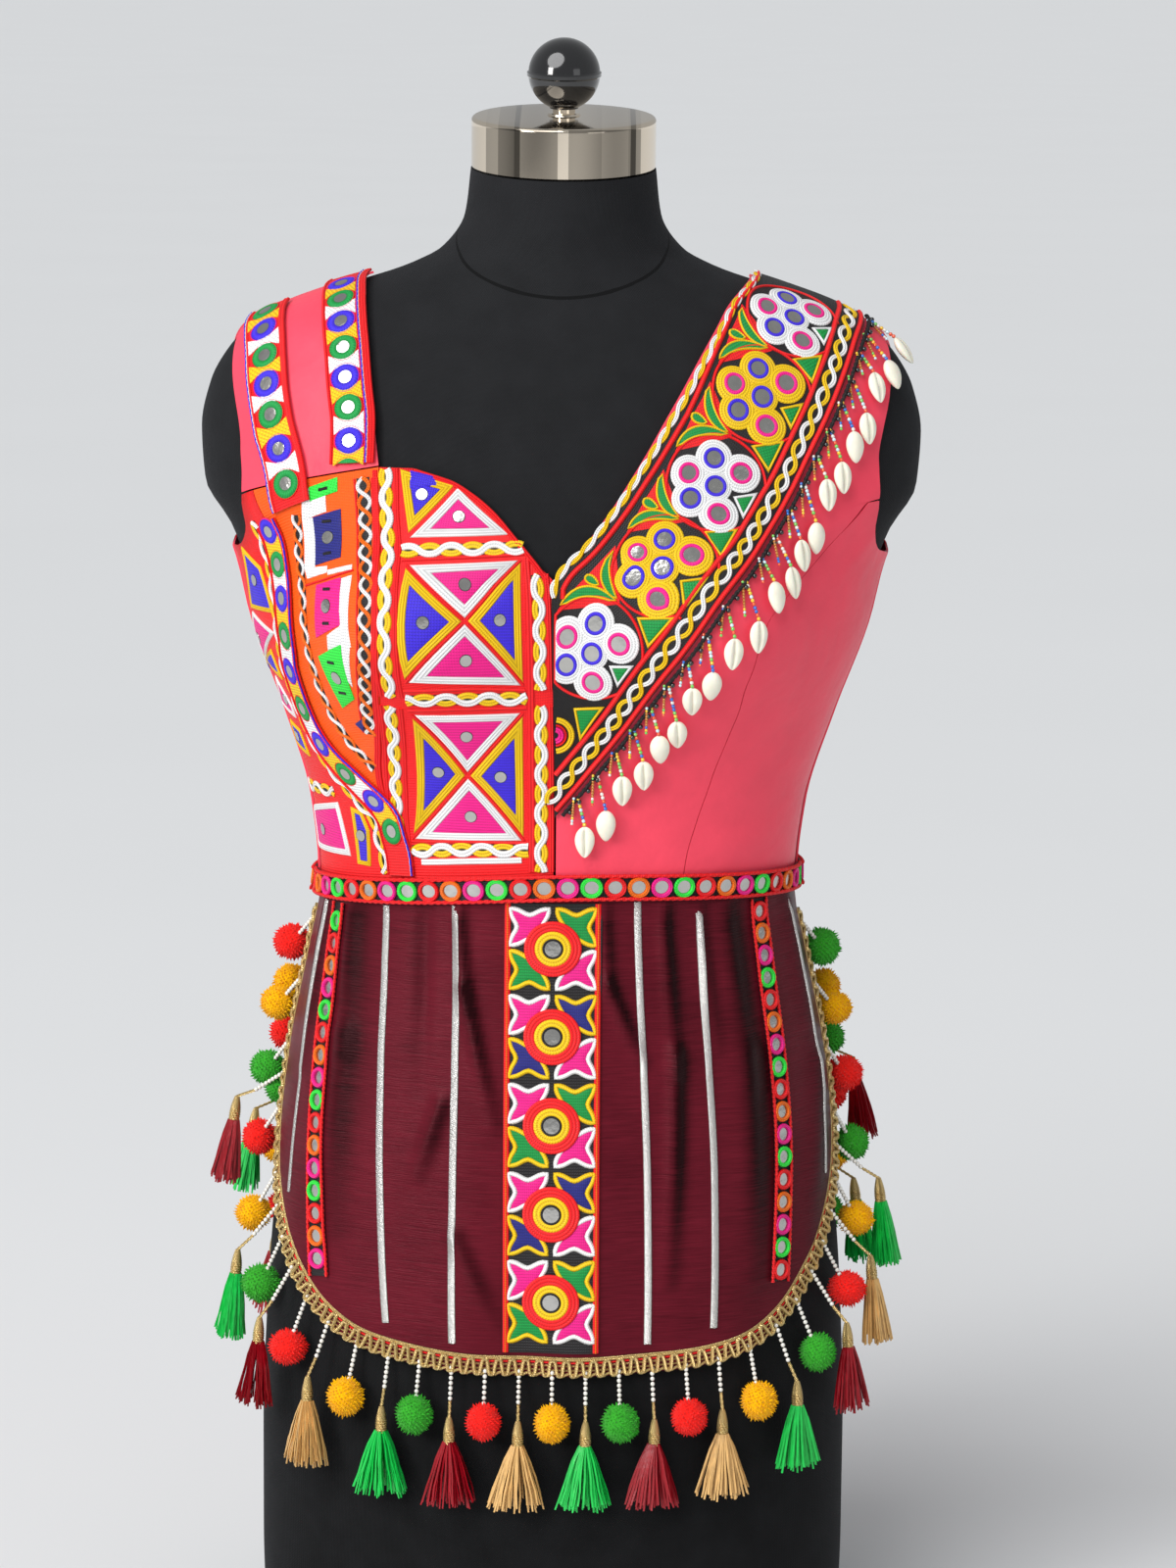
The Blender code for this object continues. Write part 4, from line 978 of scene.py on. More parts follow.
# %% Cutting the bodice
LOW_LEVELS = (474, 486, 498, 511, 524, 537, 550, 563, 576, 589, 602, 615, 627)
STRAP_FOOT = 636.6                             # level where strap, cup and side front meet
SATIN_CREASES = (
    # bearing, level, to bearing, to level, width, depth
    (73.6, 640, 60.0, 618, 5.0, 0.9), (76.0, 622, 66.0, 596, 4.0, 0.8),
    (81.0, 612, 74.0, 578, 5.0, -0.8), (86.0, 606, 83.0, 560, 4.5, 0.8),
    (72.6, 652, 63.0, 640, 4.0, -0.7), (77.0, 672, 70.0, 655, 3.5, 0.7),
    (42.0, 560, 60.0, 540, 9.0, 0.5), (44.0, 500, 70.0, 520, 10.0, -0.5),
    (20.0, 470, 36.0, 486, 8.0, 0.5), (52.0, 455, 80.0, 470, 6.0, 0.7),
    (50.0, 440, 85.0, 446, 4.0, -0.5), (12.0, 450, 34.0, 446, 5.0, -0.4),
    (-74.0, 650, -66.0, 668, 4.0, 0.7), (-76.0, 664, -84.0, 690, 4.0, -0.6),
    (-60.0, 650, -58.0, 690, 4.0, -0.5),
)
BACK_CREASES = (
    (104.0, 630, 120.0, 615, 6.0, 0.9), (-103.0, 640, -122.0, 622, 6.0, 0.8),
    (100.0, 600, 118.0, 575, 7.0, -0.9), (-99.0, 598, -120.0, 560, 8.0, -0.8),
    (112.0, 470, 150.0, 482, 8.0, 0.8), (-110.0, 462, -152.0, 476, 9.0, 0.9),
    (105.0, 448, 148.0, 450, 5.0, -0.6), (-104.0, 452, -140.0, 446, 5.0, -0.5),
    (160.0, 640, 140.0, 600, 12.0, -0.6), (-162.0, 650, -144.0, 590, 12.0, -0.6),
)
front_stand = creased(clearance, SATIN_CREASES)
back_stand = creased(back_clearance, BACK_CREASES)
FINER = 4


def bodice_foot(bearing):
    return waist(bearing) - BAND_OVERLAP + AIR


def middle_line(bearing, top, rows):
    return np.stack([np.full(rows, bearing), np.linspace(bodice_foot(bearing), top, rows)], -1)


def cut_right_front():
    """The edges, left and right, of the four pieces on the wearer's right."""
    foot = bodice_foot(-47.6)
    below = np.array([foot, 447, 460])
    shared = np.array([*LOW_LEVELS, 639, 652, 663.5])
    yield ("cup_centre_panel_right", np.concatenate([at_levels(PRINCESS_RIGHT, below),
                                                     at_levels(CUP_SEAM, shared)]),
           np.concatenate([middle_line(-0.9, 600, 14), line(SWEETHEART, 6)[1:]]), 8)
    outer_levels = (482, 492, 503, 516, *LOW_LEVELS[5:], STRAP_FOOT)
    outer = np.concatenate([[(-50.7, 474.6)], at_levels(PRINCESS_RIGHT, outer_levels)])
    inner_levels = (475.6, 486, 495, 503, 513, 525, 537, 550, 563, 576, 589, 602, 615, 663.6)
    yield "cup_side_panel_right", outer, at_levels(CUP_SEAM, inner_levels), 4
    seam_levels = (foot, 447, 460, 474, 482, 492, 503, 516, *LOW_LEVELS[5:], STRAP_FOOT)
    seam = at_levels(PRINCESS_RIGHT, seam_levels)
    arm = mirrored(line(ARMHOLE, fractions=np.linspace(0, ARM_LOW, len(seam) - 12)))[1:]
    yield "side_front_right", np.concatenate([middle_line(-89.9, 605.5, 13), arm]), seam, 5
    arm = mirrored(line(ARMHOLE, fractions=np.linspace(ARM_HIGH, 0.998, 13)))
    yield "shoulder_strap_right", arm, line(NECK_RIGHT, fractions=np.linspace(0, 0.999, 13)), 5


def cut_left_front():
    """The satin front with its strap, and the side front beyond the princess seam."""
    seam_levels = (bodice_foot(39), 455, 474, 494, 514, 532, 550, 566, 580, 594, 608, 622, 634.5)
    seam = at_levels(PRINCESS_LEFT, seam_levels)
    neck = line(NECK_LEFT, fractions=np.linspace(0, 0.999, 14))
    arm = line(ARMHOLE, fractions=np.linspace(ARM_HIGH, 0.998, 12))
    yield ("front_left", np.concatenate([middle_line(-0.4, 598.5, 11), neck]),
           np.concatenate([seam, arm]), 7)
    arm = line(ARMHOLE, fractions=np.linspace(0, ARM_LOW, 5))[1:]
    yield ("side_front_left", np.concatenate([seam[:-1], at_levels(PRINCESS_LEFT, [634])]),
           np.concatenate([middle_line(89.9, 605.5, 9), arm]), 6)


def cut_backs():
    for name, side in (("back_right", -1), ("back_left", 1)):
        arm = line(ARMHOLE_BACK, fractions=np.linspace(0, 0.998, 12))[1:]
        outer = np.concatenate([middle_line(side * 90.1, 605, 7) * (side, 1), arm])
        inner = np.concatenate([middle_line(side * 179.9, 675, 8) * (side, 1),
                                line(NECK_BACK, fractions=np.linspace(0, 0.999, 11))[1:]])
        outer[:, 0], inner[:, 0] = np.maximum(outer[:, 0], 90.1), np.maximum(inner[:, 0], 90.1)
        yield (name, outer, inner, 7) if side > 0 else (name, mirrored(inner), mirrored(outer), 7)


GROUNDS = {"cup_centre_panel_right": (RED_GROUND, "red_embroidery"),
           "cup_side_panel_right": (ORANGE_GROUND, "orange_embroidery"),
           "side_front_right": (RED_GROUND, "red_embroidery")}
for name, left, right, columns in (*cut_right_front(), *cut_left_front(), *cut_backs()):
    places = between(finer(left, FINER), finer(right, FINER), columns * FINER)
    stand = back_stand if name.startswith("back") else front_stand
    shell = cloth_wall(name + "_shell", places, stand)
    material, slot = GROUNDS.get(name, (PINK_SATIN, "pink_satin"))
    finish_piece(shell, material, slot, name)
print("bodice panels:", len(CUTS_FLAT))

# %% [markdown]
# ## Thread, cord and raised patches
# Embroidery is thread with a height. A row of chain stitch is a low rounded band carried along its
# line; a filled shape is a patch in rings, high in the middle and rounded down at its edge; a
# mirror is a flat patch held under a ring of thread.

# %% Laying thread
SINK = 0.25                                    # thread beds this far into its ground
RIDGE_POINTS, CORD_SIDES, PLIES = 4, 8, 2


def round_cord(radius, corners, lift):
    """A circle of (across, height), its middle lifted off the ground."""
    turn = full_turn(corners)
    return np.stack([-radius * np.cos(turn), lift + radius * np.sin(turn)], -1)


def stitched(width, height, rows=1):
    """A low arch over the whole width with a ridge for each row, closed underneath."""
    across = np.linspace(-1, 1, RIDGE_POINTS * rows + 1)
    arch = (1 - np.abs(across) ** 3.0) ** 0.6
    ridge = 0.6 + 0.4 * np.abs(np.sin((across + 1) / 2 * rows * math.pi))
    top = np.stack([across * width / 2, height * arch * ridge], -1)
    return np.concatenate([[[-width / 2, -SINK]], top, [[width / 2, -SINK]]])


def carry(pile, points, up, profile, closed=False, rows=1):
    """A profile carried along points: point + across times left + height times up."""
    if closed:
        travel = unit(np.roll(points, -1, 0) - np.roll(points, 1, 0))
    else:
        travel = unit(np.gradient(points, axis=0))
    left = unit(np.cross(up, travel))
    up = unit(np.cross(travel, left))
    rings = points[:, None] + profile[:, :1] * left[:, None] + profile[:, 1:] * up[:, None]
    along = path_length(points)
    half = np.abs(profile[:, 0]).max()
    across = (profile[:, 0] / half + 1) / 2 * rows * ROW
    pile.tube(rings, together(along[:, None], across[None]), closed)


def twisted(pile, points, up, radius, pitch, lift):
    """A twisted cord: its cross-section has a lobe for each ply and turns as it goes."""
    along = path_length(points)
    steps = max(3, int(along[-1] / pitch * 5))
    at = np.linspace(0, along[-1], steps)
    points = np.stack([np.interp(at, along, points[:, k]) for k in range(3)], -1)
    up = unit(np.stack([np.interp(at, along, up[:, k]) for k in range(3)], -1))
    left = unit(np.cross(up, np.gradient(points, axis=0)))
    turn = full_turn(CORD_SIDES)
    lobe = np.abs(np.cos((turn[None] - math.tau * at[:, None] / pitch / PLIES) * PLIES / 2))
    size = radius * (0.58 + 0.42 * lobe)[..., None]
    rings = (points[:, None] + up[:, None] * lift - size * np.cos(turn)[:, None] * left[:, None]
             + size * np.sin(turn)[:, None] * up[:, None])
    pile.tube(rings, together(at[:, None], turn[None] * radius))


class Ground:
    """What thread is laid on: how far it stands off the form, and a pile for each colour."""

    def __init__(self, name, stand, under):
        self.name, self.stand, self.under = name, stand, under
        self.piles = defaultdict(Pile)

    def points(self, places, height=0.0):
        return standing(places, self.stand(places) + self.under + height)

    def row(self, colour, places, width, height=0.8, rows=1, closed=False, lift=0.0):
        """Rows of chain stitch along a line."""
        carry(self.piles[colour], self.points(places, lift), outward(places),
              stitched(width, height, rows), closed, rows)

    def cord(self, colour, places, radius, pitch=2.6):
        twisted(self.piles[colour], self.points(places), outward(places), radius, pitch, radius - SINK)

    def patch(self, colour, outline, height, rings=((0.45, 1.0), (0.85, 1.0), (1.0, 0.55)), lift=0.0):
        """A filled shape: its outline drawn in towards the middle, ring by ring, and raised.
        Each ring has its share of the way out and its share of the height."""
        if clockwise(outline * (DEGREE_LONG, 1)):
            outline = outline[::-1]
        middle = outline.mean(0)
        share = np.array([r[0] for r in rings] + [1.0])[:, None, None]
        rise = np.array([r[1] * height for r in rings] + [-SINK])[:, None]
        places = middle + share * (outline - middle)
        grid = self.points(places, lift + rise)
        poles = self.points(np.stack([middle, middle]), lift + np.array([rings[0][1] * height, -SINK]))
        count = len(outline)
        index = np.arange(count) + np.arange(len(share))[:, None] * count
        after = np.roll(index, -1, 1)
        top, below = index.size, index.size + 1
        triangles = np.concatenate([np.stack([np.full(count, top), index[0], after[0]], -1),
                                    np.stack([np.full(count, below), after[-1], index[-1]], -1)])
        local = (places - middle) * (DEGREE_LONG, 1)
        uv = np.concatenate([local.reshape(-1, 2), [[0, 0], [0, 0]]])
        self.piles[colour].add(np.concatenate([grid.reshape(-1, 3), poles]), uv, walls(index), triangles)

    def mirror(self, centre, radius, height, sides=18):
        self.patch("mirror", circle(centre, radius, sides), height, ((0.5, 1.0), (0.97, 0.95)))

    def finish(self, slot, *nodes):
        """One object for each colour laid on this ground; the first stands for the solids."""
        for colour, pile in self.piles.items():
            pile.object(f"{self.name}_{colour}", THREADS[colour], slot, *nodes)
            nodes = ()
        print(self.name, "threads:", ", ".join(self.piles))


def around(centre, offsets):
    """Places at offsets in millimetres, (right, up), from a place as seen from outside."""
    centre = np.broadcast_to(np.asarray(centre, float), offsets.shape)
    up = outward(centre)
    right = unit(chart_steps(centre)[0])
    return moved(centre, offsets[..., :1] * right + offsets[..., 1:] * np.cross(up, right))


def circle(centre, radius, sides):
    turn = full_turn(sides)
    return around(centre, np.stack([radius * np.cos(turn), radius * np.sin(turn)], -1))


THREADS = {**COTTON_THREAD, "mirror": MIRROR, "gold": GOLD}

# %% [markdown]
# ## Shapes in thread
# A framed shape is a polygon with rows of chain stitch running round inside its edge, mitred at
# the corners, and a filled middle. A wave chain is two rows that weave past each other on black.
# A cone of rings makes one petal: cones that meet cut one another along the line halfway between
# their centres, as rows of stitching do.

# %% Framed shapes, cones and waves
def inset(corners, distance):
    """A polygon drawn inwards: each corner moves along the halving line of its two sides."""
    side = unit(np.roll(corners, -1, 0) - corners)
    inward = np.stack([-side[:, 1], side[:, 0]], -1)
    halving = unit(inward + np.roll(inward, 1, 0))
    return corners + halving * (distance / np.sum(halving * inward, -1))[:, None]


def divided(corners, steps):
    """More points along each side of a polygon."""
    share = (np.arange(steps) / steps)[None, :, None]
    return (corners[:, None] * (1 - share) + np.roll(corners, -1, 0)[:, None] * share).reshape(-1, 2)


def plane(places):
    """Middle of some places, and the millimetres to a degree and to a step of level there."""
    middle = places.mean(0)
    return middle, np.array([np.linalg.norm(step) for step in chart_steps(middle)])


FRAME = 4.4                                    # width of a frame of three rows


def framed(ground, colour, corners, width, rows=3, steps=6, height=0.85):
    """Rows of stitching round a shape; gives back the shape that is left inside."""
    corners = np.asarray(corners, float)
    middle, scale = plane(corners)
    flat = (corners - middle) * scale
    if clockwise(flat):
        flat = flat[::-1]
    inner = inset(flat, width)
    profile = stitched(width, height, rows)
    share = (profile[:, 0] / width + 0.5)[None, :, None]
    outside, inside = divided(flat, steps)[:, None], divided(inner, steps)[:, None]
    places = middle + (outside + share * (inside - outside)) / scale
    rings = ground.points(places, profile[:, 1])
    along = np.cumsum(np.linalg.norm(outside[:, 0] - np.roll(outside[:, 0], 1, 0), axis=1))
    uv = together(along[:, None], share[..., 0] * rows * ROW)
    ground.piles[colour].tube(rings, uv, True)
    return middle + inner / scale


def filled(ground, colour, corners, steps=6, height=0.65, lift=0.0):
    ground.patch(colour, divided(np.asarray(corners, float), steps), height, lift=lift)


def small_mirror(ground, centre, radius=3.1, height=0.75):
    """A mirror sunk in a black rim."""
    ground.patch("black", circle(centre, radius + 0.45, 18), height, ((0.6, 1.0), (0.93, 1.0)))
    ground.mirror(centre, radius, height + 0.22)


def badge(ground, corners, border, fill, mirror=True, width=FRAME):
    """A framed and filled shape, with a mirror where the halving lines of its corners meet."""
    inside = framed(ground, border, corners, width)
    filled(ground, fill, inside)
    if mirror:
        middle, scale = plane(inside)
        flat = (inside - middle) * scale
        sides = np.linalg.norm(np.roll(flat, -1, 0) - np.roll(flat, -2, 0), axis=1)
        incentre = np.sum(flat * sides[:, None], 0) / sides.sum()
        small_mirror(ground, middle + incentre / scale)


def cone(ground, colour, spot, outer, inner, high, low, rows, sides=24, squash=1.0):
    """Rings of stitching round a spot, from the outer radius at the low height to the inner one
    at the high height."""
    profile = stitched(outer - inner, 0.45, rows)
    share = profile[:, 0] / (outer - inner) + 0.5
    radius = outer + share * (inner - outer)
    turn = full_turn(sides)[:, None]
    places = spot(radius * np.cos(turn) * squash, radius * np.sin(turn))
    rise = low + (high - low) * share + profile[:, 1]
    rise[[0, -1]] = -SINK
    rings = ground.points(places, rise)
    uv = together(turn * (outer + inner) / 2, share * rows * ROW)
    ground.piles[colour].tube(rings, uv, True)


def disc(ground, colour, spot, radius, height, sides, squash=1.0):
    turn = full_turn(sides)
    outline = spot(radius * np.cos(turn) * squash, radius * np.sin(turn))
    ground.patch(colour, outline, height, ((0.5, 1.0), (0.96, 0.96)))


def spot_on(route, s, t=0.0):
    """Millimetres (right, up) about a place on a route, up being along it."""
    return lambda x, y: route.at(s + y, t - x)


def rounded_wave(phase, sharpness):
    """A square wave with rounded corners: the hyperbolic tangent of a sine, scaled to one."""
    return np.tanh(sharpness * np.sin(phase)) / math.tanh(sharpness)


def wave_chain(ground, route, over, under, reach, width, first=0.0, last=None, across=0.0,
               period=21.8, phase=0.0, linked=False, bed=True, curve=0.9):
    """Two waves in opposite phase, on a black bed; linked ones take turns on top."""
    last = route.length if last is None else last
    s = np.linspace(first, last, max(8, int((last - first) / (period / 16))))
    turn = math.tau * (s - first) / period + phase
    swing = reach * rounded_wave(turn, curve)
    turns = 0.3 * np.cos(turn) if linked else 0.14
    if bed:
        ground.row("black", route.at(s, across), 2 * reach + width * 0.5, 0.2)
    ground.row(under, route.at(s, across - swing), width, 0.72, 2, lift=0.2 - turns)
    ground.row(over, route.at(s, across + swing), width, 0.72, 2, lift=0.2 + turns)


def route_through(*places):
    return Route(line(places, 60))


# %% [markdown]
# ## The right cup
# Its centre panel is red, with two blocks of four triangles and part of a third. Beside it a
# wedge in orange and white carries squares with mirrors between chains of linked loops.

# %% The cup's centre panel
cup = Ground("cup_threads", front_stand, CLOTH)
GAP = 1.1                                      # from a triangle to the middle of a red line
PAIRS = ("white", "magenta"), ("yellow", "violet")


def block(middle, *corners):
    """Four framed triangles that meet in the middle, with red lines of the ground between."""
    middle, corners = np.array(middle, float), np.array(corners, float)
    _, scale = plane(corners)
    for k in range(4):
        triangle = (np.stack([corners[k], middle, corners[(k + 1) % 4]]) - middle) * scale
        badge(cup, middle + inset(triangle, GAP) / scale, *PAIRS[k % 2])
    for corner in corners:
        arm = middle + (corner - middle) * np.linspace(0.04, 0.97, 12)[:, None]
        cup.row("red", arm, 1.5, 0.55)


block((-22.7, 582.1), (-35.8, 610.6), (-10.0, 617.9), (-9.2, 547.2), (-35.4, 549.6))
block((-26.2, 498.8), (-36.6, 533.6), (-9.4, 534.6), (-9.9, 462.6), (-44.6, 460.2))
badge(cup, [(-42.3, 665.4), (-28.9, 662.5), (-36.9, 628.4)], *PAIRS[1])
filled(cup, "violet", [(-39.9, 665.8), (-34.6, 665.6), (-32.8, 660.5), (-39.0, 655.0)], 3, 0.95)
badge(cup, [(-36.4, 625.6), (-28.0, 661.4), (-13.6, 634.0)], *PAIRS[0])

left_high = route_through(
    (-45.4, 663.0), (-44.1, 651.4), (-42.3, 634.7), (-40.1, 617.7), (-38.4, 597.3), (-37.5, 578.7),
    (-37.7, 564.4), (-38.3, 554.3), (-39.2, 542.4))
left_low = route_through((-40.4, 536.7), (-43.4, 514.8), (-46.5, 491.8), (-48.1, 469.2),
                         (-48.0, 453.2), (-47.3, 445))
right_high = route_through((-6.3, 607.0), (-5.5, 588.8), (-5.2, 568.7), (-5.0, 546.0))
right_low = route_through((-4.9, 537.0), (-4.8, 500.5), (-5.0, 470.8), (-5.0, 447.0))
high_level = route_through((-37.2, 617.6), (-25.1, 621.4), (-10.0, 625.6))
mid_level = route_through((-36.2, 540.7), (-23.8, 541.5), (-8.9, 541.2))
low_level = route_through((-44.3, 454.7), (-26.9, 457.7), (-9.1, 458.5))
for route, reach, width, phase in (
        (left_high, 2.1, 3.8, 0.4), (left_low, 2.1, 3.8, 2.2), (right_high, 2.0, 3.6, 2.8),
        (right_low, 2.0, 3.6, 0.2), (high_level, 2.3, 3.8, 0.6), (mid_level, 2.3, 3.8, 2.0),
        (low_level, 2.3, 3.8, 3.0)):
    wave_chain(cup, route, "white", "yellow", reach, width, phase=phase)
cup.row("white", line(((-41.7, 449.0), (-27.0, 451.4), (-11.2, 453.0)), 30), 3.4, 0.7, 2)
cup.row("red", line(SWEETHEART, 60)[4:] + (0.5, -1.6), 2.8, 0.75, 2)
for places in (((-36.6, 612.2), (-24.8, 616.2), (-9.8, 621.0)),
               ((-36.0, 546.0), (-23.8, 547.0), (-9.2, 545.8)),
               ((-36.6, 535.0), (-23.8, 536.2), (-9.0, 536.2)),
               ((-44.4, 460.0), (-27.0, 462.0), (-9.6, 462.4))):
    cup.row("red", line(places, 30), 2.0, 0.7)
upright = (-9.0, 618.6), (-8.0, 588.8), (-7.6, 548.3), (-7.8, 500.5), (-8.0, 447.0)
cup.row("red", line(upright, 50), 3.6, 0.75, 2)
for route, across in ((left_high, -5.6), (left_high, 5.6), (left_low, -5.6), (left_low, 5.6),
                      (right_high, 5.4), (right_low, 5.4)):
    cup.row("red", route.at(route.steps(50), across), 2.8, 0.7, 2)
cup.finish("red_embroidery")

# %% The orange wedge
wedge = Ground("wedge_threads", front_stand, CLOTH)
inner_loops = route_through(
    (-49.6, 655.5), (-47.6, 640.3), (-45.0, 616.4), (-42.3, 596.5), (-41.3, 573.1), (-44.0, 547.7),
    (-47.1, 530.5), (-48.6, 519.0))
outer_loops = route_through(
    (-61.6, 630.0), (-61.4, 618.4), (-59.4, 589.0), (-58.9, 559.6), (-58.9, 536.7), (-57.7, 521.2),
    (-54.2, 506.5), (-51.3, 499.2))
for route, reach, width, phase in ((inner_loops, 3.1, 2.3, 0.0), (outer_loops, 2.4, 1.9, 1.0)):
    wave_chain(wedge, route, "orange", "white", reach, width, period=17.6, phase=phase, linked=True,
               curve=0.5)
wedge.row("red", line(at_levels(CUP_SEAM, np.linspace(657, 482, 20)), 60) + (-1.0, 0), 4.2, 0.8, 3)
wedge.row("red", inner_loops.at(inner_loops.steps(60), -4.6), 1.3, 0.6)
WEDGE_WHITE = (
    ((-60.6, 641.5), (-59.4, 644.0), (-58.3, 630.2), (-60.4, 628.4)),
    ((-58.9, 638.6), (-56.1, 642.2), (-55.4, 634.3), (-58.5, 630.2)),
    ((-60.4, 628.4), (-57.9, 630.3), (-56.3, 604.3), (-59.2, 603.3)),
    ((-59.2, 603.3), (-53.1, 605.9), (-52.8, 602.5), (-58.2, 598.2)),
    ((-52.8, 603.8), (-46.9, 607.8), (-46.6, 605.2), (-52.5, 601.2)),
    ((-48.6, 600.3), (-46.2, 602.5), (-44.7, 567.2), (-47.0, 567.9)),
    ((-51.2, 571.3), (-46.8, 577.7), (-46.8, 567.9), (-51.6, 563.6)),
    ((-47.2, 568.4), (-44.9, 567.6), (-47.6, 545.6), (-48.2, 548.5)),
)
for corners in WEDGE_WHITE:
    filled(wedge, "white", corners, 4, 0.5)
TALL_ENOUGH = 8.5                              # a square shorter than this has no mirror
BAR = np.linspace(-2.6, 2.6, 7)[:, None]       # a short black bar of stitching
for colour, corners in (
        ("lime", ((-59.6, 644.1), (-54.6, 652.6), (-53.9, 645.4), (-58.9, 637.6))),
        ("navy", ((-58.1, 630.3), (-52.5, 636.9), (-50.2, 610.9), (-56.3, 605.4))),
        ("magenta", ((-55.3, 595.6), (-48.8, 600.8), (-47.1, 577.6), (-55.0, 568.9))),
        ("lime", ((-55.5, 559.3), (-47.3, 567.8), (-48.6, 538.8), (-53.6, 532.3))),
        ("navy", ((-51.8, 524.1), (-48.9, 528.0), (-49.2, 524.5), (-50.3, 519.9)))):
    filled(wedge, colour, corners, 5, 0.85)
    corners = np.array(corners)
    middle, scale = plane(corners)
    tall = (corners[0] + corners[1] - corners[2] - corners[3]) * scale / 2
    reach = np.hypot(*tall)
    if reach < TALL_ENOUGH:
        if colour == "lime":
            wedge.row("black", middle + BAR * (0.92, 0.4) / scale, 2.0, 0.6, lift=0.7)
        continue
    along = tall / reach
    across = np.array([along[1], -along[0]])
    small_mirror(wedge, middle, 3.5, 0.9)
    for side in (-1, 1):
        bar = middle + (along * side * 8.6 + across * BAR) / scale
        wedge.row("black", bar, 2.0, 0.6, lift=0.7)
wedge.row("red", line(((-58.6, 594.6), (-52.3, 599.6), (-46.2, 605.0)), 20), 1.2, 0.6, lift=0.1)
wedge.finish("orange_embroidery")

# %% [markdown]
# ## Mirror ribbons on the bodice
# A ribbon with a red ground: mirrors in broad rings of green and violet silk, and between them
# hourglass shapes in white and yellow. A twisted violet and white line runs along one edge.

# %% The princess ribbon and the strap ribbons
STRAP_RIBBON_WIDE, PRINCESS_RIBBON_WIDE = 24.4, 15.5
RIBBON_THICK = 0.8
RIBBON_UNDER = CLOTH + 1.2
RING_APART = 17.5                              # between rings where an hourglass has its full height
HOURGLASS_WIDE = np.array([-1, -0.5, 0, 0.5, 1, 1, 0.5, 0, -0.5, -1])
HOURGLASS_TALL = np.array([5.4, 3.0, 2.2, 3.0, 5.4, -5.4, -3.0, -2.2, -3.0, -5.4])


def mirror_ribbon(name, centre, width, node, rings, cord, start=(0, 0), shift=0.0, squash=1.0):
    """The ribbon is a red wall of cloth. Rings lie at the given distances along it, hourglasses
    between them; a stitched red cord of the given width runs along one edge, left or right by
    its sign, and a twisted violet and white line beside it or along the other edge."""
    route = Route(centre)
    shell = cloth_wall(name + "_ribbon", route.band(width, 70, 8), front_stand, RIBBON_UNDER, RIBBON_THICK)
    finish_piece(shell, COTTON_THREAD["red"], "mirror_ribbon", node)
    ground = Ground(name, front_stand, RIBBON_UNDER + RIBBON_THICK)

    def on_ribbon(at):
        spot = spot_on(route, at, shift)
        return lambda x, y: spot(x, np.maximum(y, 0.4 - at))

    for k, at in enumerate(rings):
        spot = on_ribbon(at)
        colour, rim = (("green", "red"), ("violet", "magenta"))[(k + start[0]) % 2]
        cone(ground, colour, spot, 7.4, 3.4, 0.6, 0.3, 1, 24, squash)
        cone(ground, rim, spot, 8.0, 7.2, 0.1, 0.1, 1, 24, squash)
        if at > 0:
            disc(ground, "mirror", spot, 3.6, 0.75, 16, squash)
    half = width / 2 - 2.2 - abs(shift)
    for k, (low, high) in enumerate(zip(rings[:-1], rings[1:])):
        colour = ("yellow", "white")[(k + start[1]) % 2]
        tall = HOURGLASS_TALL * ((high - low) / RING_APART) ** 1.5
        spot = spot_on(route, (low + high) / 2, shift)
        filled(ground, colour, spot(HOURGLASS_WIDE * half, tall), 2, 0.5)
    s = route.steps(120, 0.5)
    edge = width / 2
    side, wide = np.sign(cord), abs(cord)
    ground.row("red", route.at(s, side * (edge - wide / 2)), wide, 0.8, max(1, round(wide / 1.6)))
    twist = side * (edge - wide - 0.6) if shift else -side * (edge - 1.0)
    ground.cord("violet", route.at(s, twist), 0.62, 4.0)
    ground.cord("white", route.at(s, twist + 0.35 * side), 0.5, 4.0)
    ground.row("red", route.at(s, -side * (edge - (0.9 if shift else 2.2))), 1.7, 0.6)
    ground.finish("mirror_ribbon")


PRINCESS_RINGS = (
    (-49.3, 464.9), (-53.2, 482.1), (-58.9, 497.1), (-64.2, 510.6), (-66.7, 528.4), (-66.9, 548),
    (-65.1, 567.5), (-64.9, 586.7), (-65.5, 604.5), (-67.2, 620.4),
)
ribbon_centre = line(PRINCESS_RIGHT, 22)
ribbon_centre[0, 1] = bodice_foot(ribbon_centre[0, 0]) + 8
ribbon_centre = finer(ribbon_centre[1:-1], 3)
rings = [Route(finer(ribbon_centre, 4)).nearest(place) for place in PRINCESS_RINGS]
mirror_ribbon("princess_ribbon", ribbon_centre, PRINCESS_RIBBON_WIDE, "princess_ribbon_right", rings,
              cord=1.2, squash=0.75)
mirror_ribbon("outer_strap_ribbon", finer(line(STRAP_RIBBON_OUTER, 12), 5), STRAP_RIBBON_WIDE,
              "strap_ribbon_outer", (11.7, 30.4, 49.1, 65.8, 82.3, 100.3, 117.0), cord=-3.8,
              start=(0, 1))
mirror_ribbon("inner_strap_ribbon", finer(line(STRAP_RIBBON_INNER, 12), 5), STRAP_RIBBON_WIDE,
              "strap_ribbon_inner", (-4.0, 12.3, 30.1, 46.3, 63.5, 79.7, 96.7, 113.5), cord=-4.2,
              shift=1.9)

